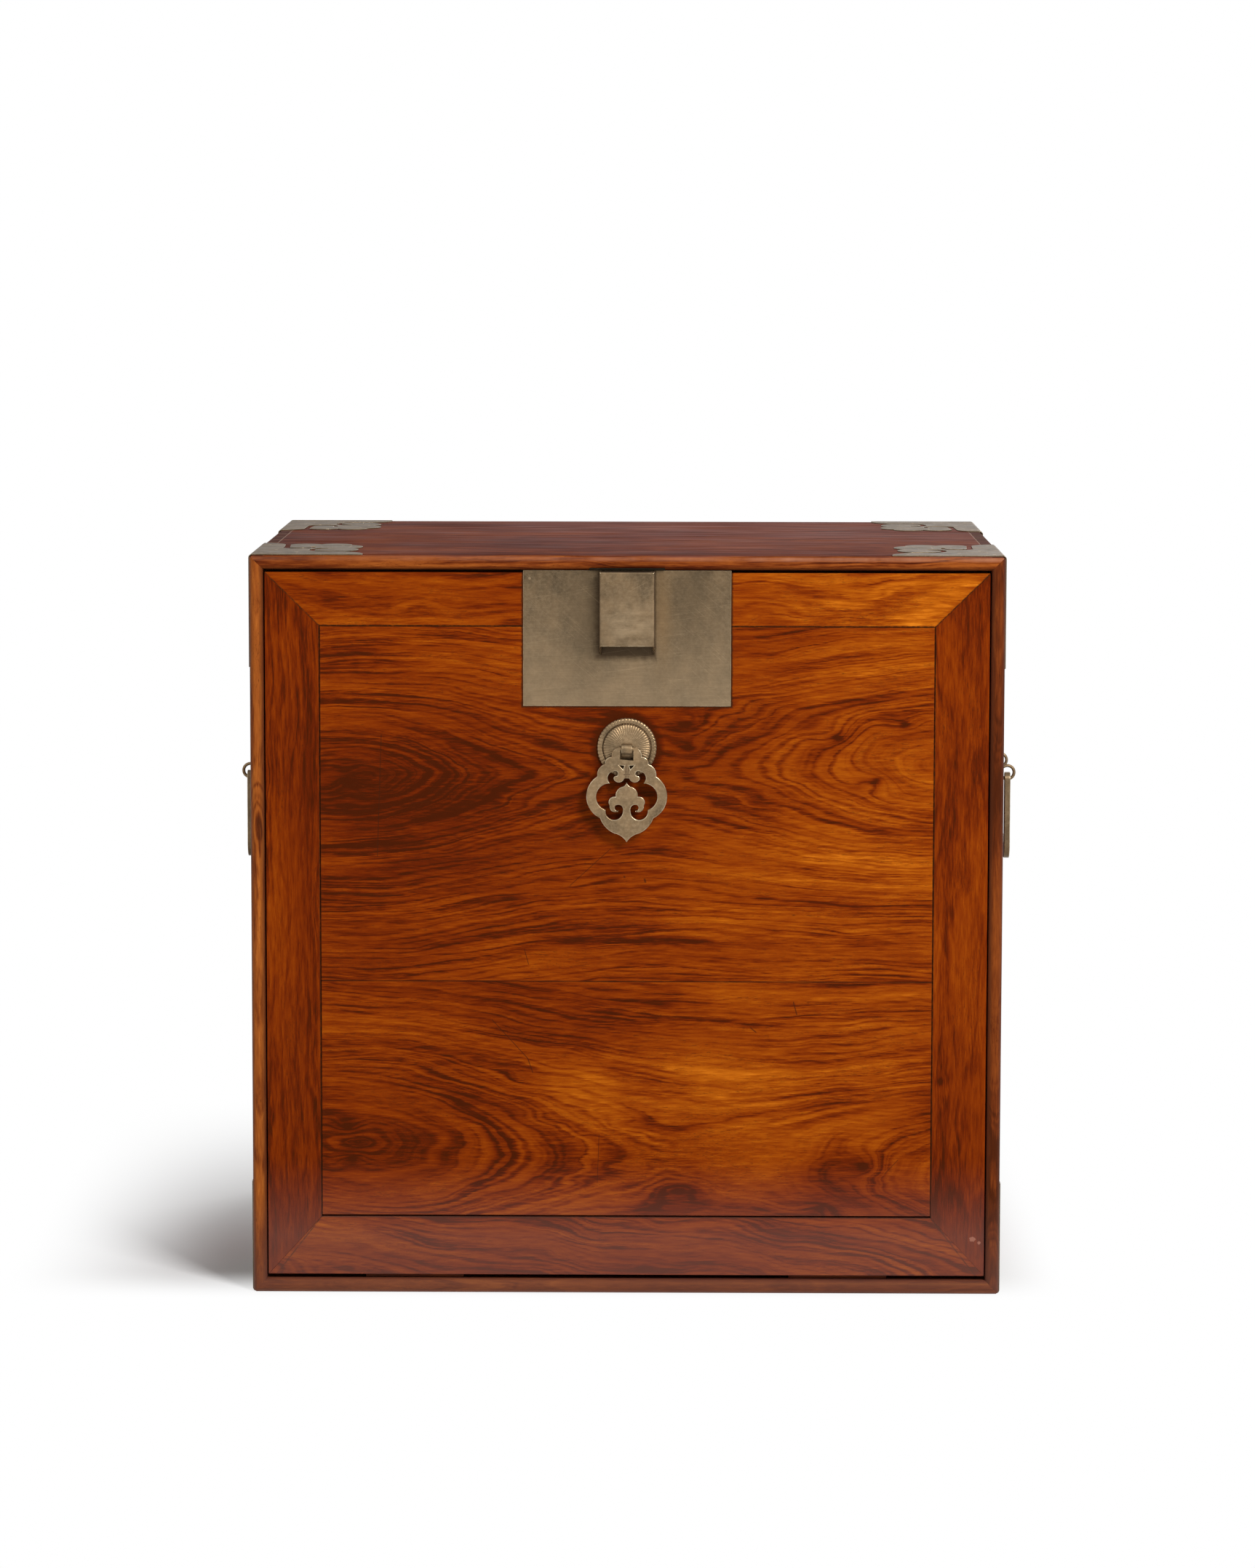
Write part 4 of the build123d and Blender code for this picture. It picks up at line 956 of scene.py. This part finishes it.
GROOVE_DIRT_AND_SHADE = (0.055, 0.028, 0.012)
RIB_CREASE = math.radians(50)

# A lower power makes narrower grooves. They sink by a share of what they cut from the radius.
GROOVE_POWER = 0.32
GROOVE_DROP = 0.45


def ribbed_disc(name, tiers, radius, height, ribs, steps, place):
    """A round sheet worked into radial ribs. Each tier is a share of the radius, a share of the
    height and the depth of its grooves as a share of the radius. steps is how many points a rib
    has round the disc, and place puts them in the chest."""
    form = bmesh.new()
    around = ribs * steps
    rings = []
    for share, lift, depth in tiers:
        ring = []
        for step in range(around):
            angle = math.tau * step / around
            groove = 1.0 - abs(math.sin(angle * ribs / 2)) ** GROOVE_POWER
            reach = radius * (share - depth * groove)
            rise = max(0.0, height * lift - GROOVE_DROP * radius * depth * groove)
            spot = place(reach * math.cos(angle), reach * math.sin(angle), rise)
            ring.append(form.verts.new(spot))
        rings.append(ring)
    for outer, inner in zip(rings, rings[1:]):
        for step in range(around):
            after = (step + 1) % around
            form.faces.new((outer[step], outer[after], inner[after], inner[step]))
    form.faces.new(rings[-1])
    form.faces.new(list(reversed(rings[0])))
    bmesh.ops.recalc_face_normals(form, faces=form.faces)
    for face in form.faces:
        face.smooth = len(face.verts) == 4
    mesh = bpy.data.meshes.new(name)
    form.to_mesh(mesh)
    form.free()
    mesh.set_sharp_from_angle(angle=RIB_CREASE)
    return mesh


def rosette_dirt_and_shade(place, colour):
    """Brown dirt and painted shade in the grooves between the ribs, and in the step between the two
    tiers.
    """
    above = less(place["z"], PULL_HEIGHT)
    angle = calc("ARCTAN2", above, place["x"])
    rib = unsigned(calc("SINE", times(angle, ROSETTE_RIBS / 2)))
    out = calc("DIVIDE", distance(place["x"], above), PULL_HIGH.x)
    step = unsigned(less(out, TIER_STEP))
    groove = times(rescale(rib, 0.30, 0.03), rescale(out, 0.18, 0.50))
    dirt_and_light = largest(groove, rescale(step, 0.022, 0.006))
    return coated(colour, times(dirt_and_light, 0.80), GROOVE_DIRT_AND_SHADE)


rosette_low, rosette_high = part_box("pull_rosette")
rosette_middle = (rosette_low + rosette_high) / 2


def on_the_door(aside, above, out):
    return (rosette_middle.x + aside, rosette_high.y - out, rosette_middle.z + above)


rosette_finish = white_copper("white_copper_rosette", 1.30, 61.0, rosette_dirt_and_shade, rough=(0.26, 0.38))
rosette_mesh = ribbed_disc("rosette_ribbed", ROSETTE_TIERS, (rosette_high.x - rosette_low.x) / 2,
                           rosette_high.y - rosette_low.y, ROSETTE_RIBS, ROSETTE_STEPS, on_the_door)
rosette_mesh.materials.append(rosette_finish)
rosette = put_in_scene("rosette_ribbed", rosette_mesh)
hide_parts("pull_rosette")
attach(rosette, "door")


# A folded strap goes through the rosette's middle. Its loop holds the pendant's pin, and its two
# legs pass through the door and are bent flat on a washer behind.
STRAP_EASE = 0.0003
WASHER_EASE = 0.0001
pull_finish = white_copper("white_copper_pull", 1.25, 63.0)
fitting_finish = white_copper("white_copper_fittings", 0.95, 49.0)
eased_copy("pull_strap", STRAP_EASE, pull_finish, worn_edge)
eased_copy("pull_washer", WASHER_EASE, fitting_finish)


# The pendant is sawn from thick sheet as a lobed ruyi drop, pierced round a smaller ruyi head,
# and filed round on every edge, which the hand has since kept bright.
PENDANT_EASE = 0.00045
PENDANT_REEDS = [
    ((-1.0, 314.2), (-0.8, 309.8), 0.30), ((0.0, 315.2), (0.0, 309.8), 0.30),
    ((1.0, 314.2), (0.8, 309.8), 0.30), ((-1.6, 309.1), (1.6, 309.1), 0.40),
    ((-0.8, 308.4), (-1.0, 305.6), 0.30), ((0.0, 308.4), (0.0, 305.4), 0.30),
    ((0.8, 308.4), (1.0, 305.6), 0.30),
]
NOTCH_HALF = 6.8
NOTCH_FOOT = PULL_HEIGHT - 4.5


def pendant_reeds(place, colour):
    """Short reeds are cut below the pin, tied across the middle."""
    return scratched(place, colour, PENDANT_REEDS)


def by_the_pin(spot):
    """The notch for the strap's loop and the pin across it, whose edges stay sharp."""
    return MILLIMETRES * abs(spot.x) < NOTCH_HALF and MILLIMETRES * spot.z > NOTCH_FOOT


pendant_finish = white_copper("white_copper_pendant", 1.30, 65.0, pendant_reeds)
eased_copy("pendant", PENDANT_EASE, pendant_finish, worn_edge, 3, by_the_pin)


# Each side handle hangs from two wire eyes. An eye is one wire bent into a ring, whose two legs
# pass through a small fluted backplate and the side board and are bent apart on a washer inside.
HANDLE_RIBS = 12
HANDLE_STEPS = 14
HANDLE_TIERS = [
    (1.000, 0.00, 0.060), (1.000, 0.20, 0.070), (0.985, 0.34, 0.070), (0.950, 0.44, 0.066),
    (0.850, 0.58, 0.050), (0.700, 0.76, 0.030), (0.540, 0.90, 0.014), (0.400, 0.99, 0.004),
    (0.200, 1.00, 0.000),
]
WIRE = 0.00095
EYE_RING = 0.0041
EYE_GAP = math.radians(24)
EYE_STEPS = 40
EYE_LEG = 0.0015
EYE_LEG_END = 0.98 * EYE_LEG
LEG_SPREAD = (-0.0080, -0.0040, 0.0, 0.0040, 0.0080)


def bent_wire(name, paths, finish):
    """Round wires along rounded paths, each path a list of points with its wire's radius."""
    curve = bpy.data.curves.new(name, "CURVE")
    curve.dimensions = "3D"
    curve.bevel_depth = 1.0
    curve.bevel_resolution = 5
    curve.use_fill_caps = True
    for points, radius in paths:
        wire = curve.splines.new("POLY")
        wire.points.add(len(points) - 1)
        for knot, spot in zip(wire.points, points):
            knot.co = (*spot, 1.0)
            knot.radius = radius
    curve.materials.append(finish)
    return put_in_scene(name, curve)


def eye_paths(side, middle, inside):
    """The ring of one eye, and its legs through the board with their ends bent apart."""
    ring = []
    for step in range(EYE_STEPS + 1):
        angle = EYE_GAP + (math.tau - 2 * EYE_GAP) * step / EYE_STEPS
        ring.append((middle.x - side * EYE_RING * math.cos(angle), middle.y,
                     middle.z + EYE_RING * math.sin(angle)))
    neck = middle.x - side * (EYE_RING - WIRE)
    legs = [(neck, middle.y, middle.z), (inside, middle.y, middle.z)]
    ends = [(inside, middle.y + reach, middle.z) for reach in LEG_SPREAD]
    return [(ring, WIRE), (legs, EYE_LEG), (ends, EYE_LEG_END)]


handle_finish = white_copper("white_copper_handles", 1.10, 71.0)
for side, name in ((-1, "left"), (1, "right")):
    low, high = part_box(f"{name}_handle_plates")
    board = low.x if side > 0 else high.x
    radius = (high.z - low.z) / 2
    middles = [Vector((0.0, y, (low.z + high.z) / 2)) for y in (low.y + radius, high.y - radius)]
    for number, middle in enumerate(middles, 1):
        def on_the_side(aside, above, out):
            return (board + side * out, middle.y + aside, middle.z + above)
        disc_mesh = ribbed_disc(f"{name}_backplate_{number}", HANDLE_TIERS, radius, high.x - low.x,
                                HANDLE_RIBS, HANDLE_STEPS, on_the_side)
        disc_mesh.materials.append(handle_finish)
        disc = put_in_scene(f"{name}_backplate_{number}", disc_mesh)
        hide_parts(f"{name}_handle_plates")
        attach(disc, "case")
    low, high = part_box(f"{name}_handle_eyes")
    outer, inner = (high.x, low.x) if side > 0 else (low.x, high.x)
    wires = []
    for middle in middles:
        eye = Vector((outer - side * (EYE_RING + WIRE), middle.y, middle.z))
        wires += eye_paths(side, eye, inner + side * EYE_LEG)
    eyes = bent_wire(f"{name}_wire_eyes", wires, handle_finish)
    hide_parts(f"{name}_handle_eyes")
    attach(eyes, "case")
    eased_copy(f"{name}_handle_washers", WASHER_EASE, fitting_finish)


# The bails themselves are sawn from flat white copper bar, wider at the bottom where the
# fingers hold it, with an ear at the top of each arm. Use has rounded and brightened them.
BAIL_EASE = 0.0006
bail_finish = white_copper("white_copper_bails", 0.95, 73.0)
for name in ("left_bail", "right_bail"):
    eased_copy(name, BAIL_EASE, bail_finish, worn_edge, 3)


# The chest stands on a plain pale floor that runs out into a white surround, under soft light
# from the upper right and a weaker fill from the left, seen from a little above its top.
FLOOR_REACH = 6.0
FLOOR_GREY = (0.95, 0.95, 0.95)
WHITE = (1.0, 1.0, 1.0)
AMBIENT = 0.22
LAMP_TARGET = Vector((0.0, 0.0, 0.2))

# At both ends of an axis, how far the floor shows its own shade and where it has run to white.
SHADED_FLOOR = {"x": ((-0.235, -0.375), (0.200, 0.262)), "y": ((-0.10, -0.185), (-0.10, 0.50))}


def looked_at(tree):
    """1 for what the camera sees, straight or in polished metal."""
    rays = add_node("LightPath", {}, tree).outputs
    return largest(rays["Is Camera Ray"], rays["Is Glossy Ray"], rays["Is Transmission Ray"])


def pale_floor():
    """A round floor that keeps the chest's shadow near it and is plain white further out."""
    form = bmesh.new()
    bmesh.ops.create_circle(form, cap_ends=True, segments=96, radius=FLOOR_REACH)
    mesh = bpy.data.meshes.new("floor")
    form.to_mesh(mesh)
    form.free()
    material = empty_material("pale_floor")
    tree = material.node_tree
    place = apart(add_node("TexCoord", {}, tree).outputs["Object"])
    kept = 1.0
    for axis, edges in SHADED_FLOOR.items():
        for inner, outer in edges:
            feeds = {0: place[axis], 1: outer, 2: inner}
            inside = add_node("MapRange", feeds, interpolation_type="SMOOTHSTEP").outputs[0]
            kept = times(inside, kept)
    share = times(looked_at(tree), less(1.0, kept))
    matte = add_node("BsdfDiffuse", {"Color": opaque(FLOOR_GREY)}, tree).outputs[0]
    glow = add_node("Emission", {"Color": opaque(WHITE), "Strength": 1.0}, tree).outputs[0]
    shader = add_node("MixShader", {0: share, 1: matte, 2: glow})
    add_node("OutputMaterial", {0: shader.outputs[0]})
    mesh.materials.append(material)
    put_in_scene("floor", mesh)


def white_surround():
    """Plain white where the camera looks at it, and a weak light from all round elsewhere."""
    world = bpy.data.worlds.new("white_surround")
    world.use_nodes = True
    tree = world.node_tree
    tree.nodes.clear()
    strength = rescale(looked_at(tree), 0.0, 1.0, AMBIENT, 1.0)
    sky = add_node("Background", {"Color": opaque(WHITE), "Strength": strength})
    add_node("OutputWorld", {0: sky.outputs[0]})
    bpy.context.scene.world = world


def soft_lamp(name, spot, size, power):
    """A square softbox, size metres wide and power watts, that looks at the chest's middle."""
    lamp = bpy.data.lights.new(name, "AREA")
    lamp.size = size
    lamp.energy = power
    holder = put_in_scene(name, lamp)
    holder.location = spot
    holder.rotation_euler = (LAMP_TARGET - Vector(spot)).to_track_quat("-Z", "Y").to_euler()


pale_floor()
white_surround()
soft_lamp("key_light", (1.15, -2.15, 1.75), 0.7, 64.0)
soft_lamp("fill_light", (-1.9, -1.3, 1.2), 1.4, 7.0)
soft_lamp("back_light", (1.0, 2.0, 1.6), 1.2, 16.0)

CAMERA_SPOT = (0.0252, -3.1061, 0.6362)
CAMERA_PITCH, CAMERA_YAW, CAMERA_ROLL = 6.466, 0.495, 0.105
camera = put_in_scene("camera", bpy.data.cameras.new("camera"))
camera.data.lens = 116.37
camera.data.sensor_width = 36.0
camera.location = CAMERA_SPOT
camera.rotation_euler = [math.radians(a) for a in (90 - CAMERA_PITCH, -CAMERA_ROLL, CAMERA_YAW)]
bpy.context.scene.camera = camera
bpy.context.scene.view_settings.view_transform = "Standard"
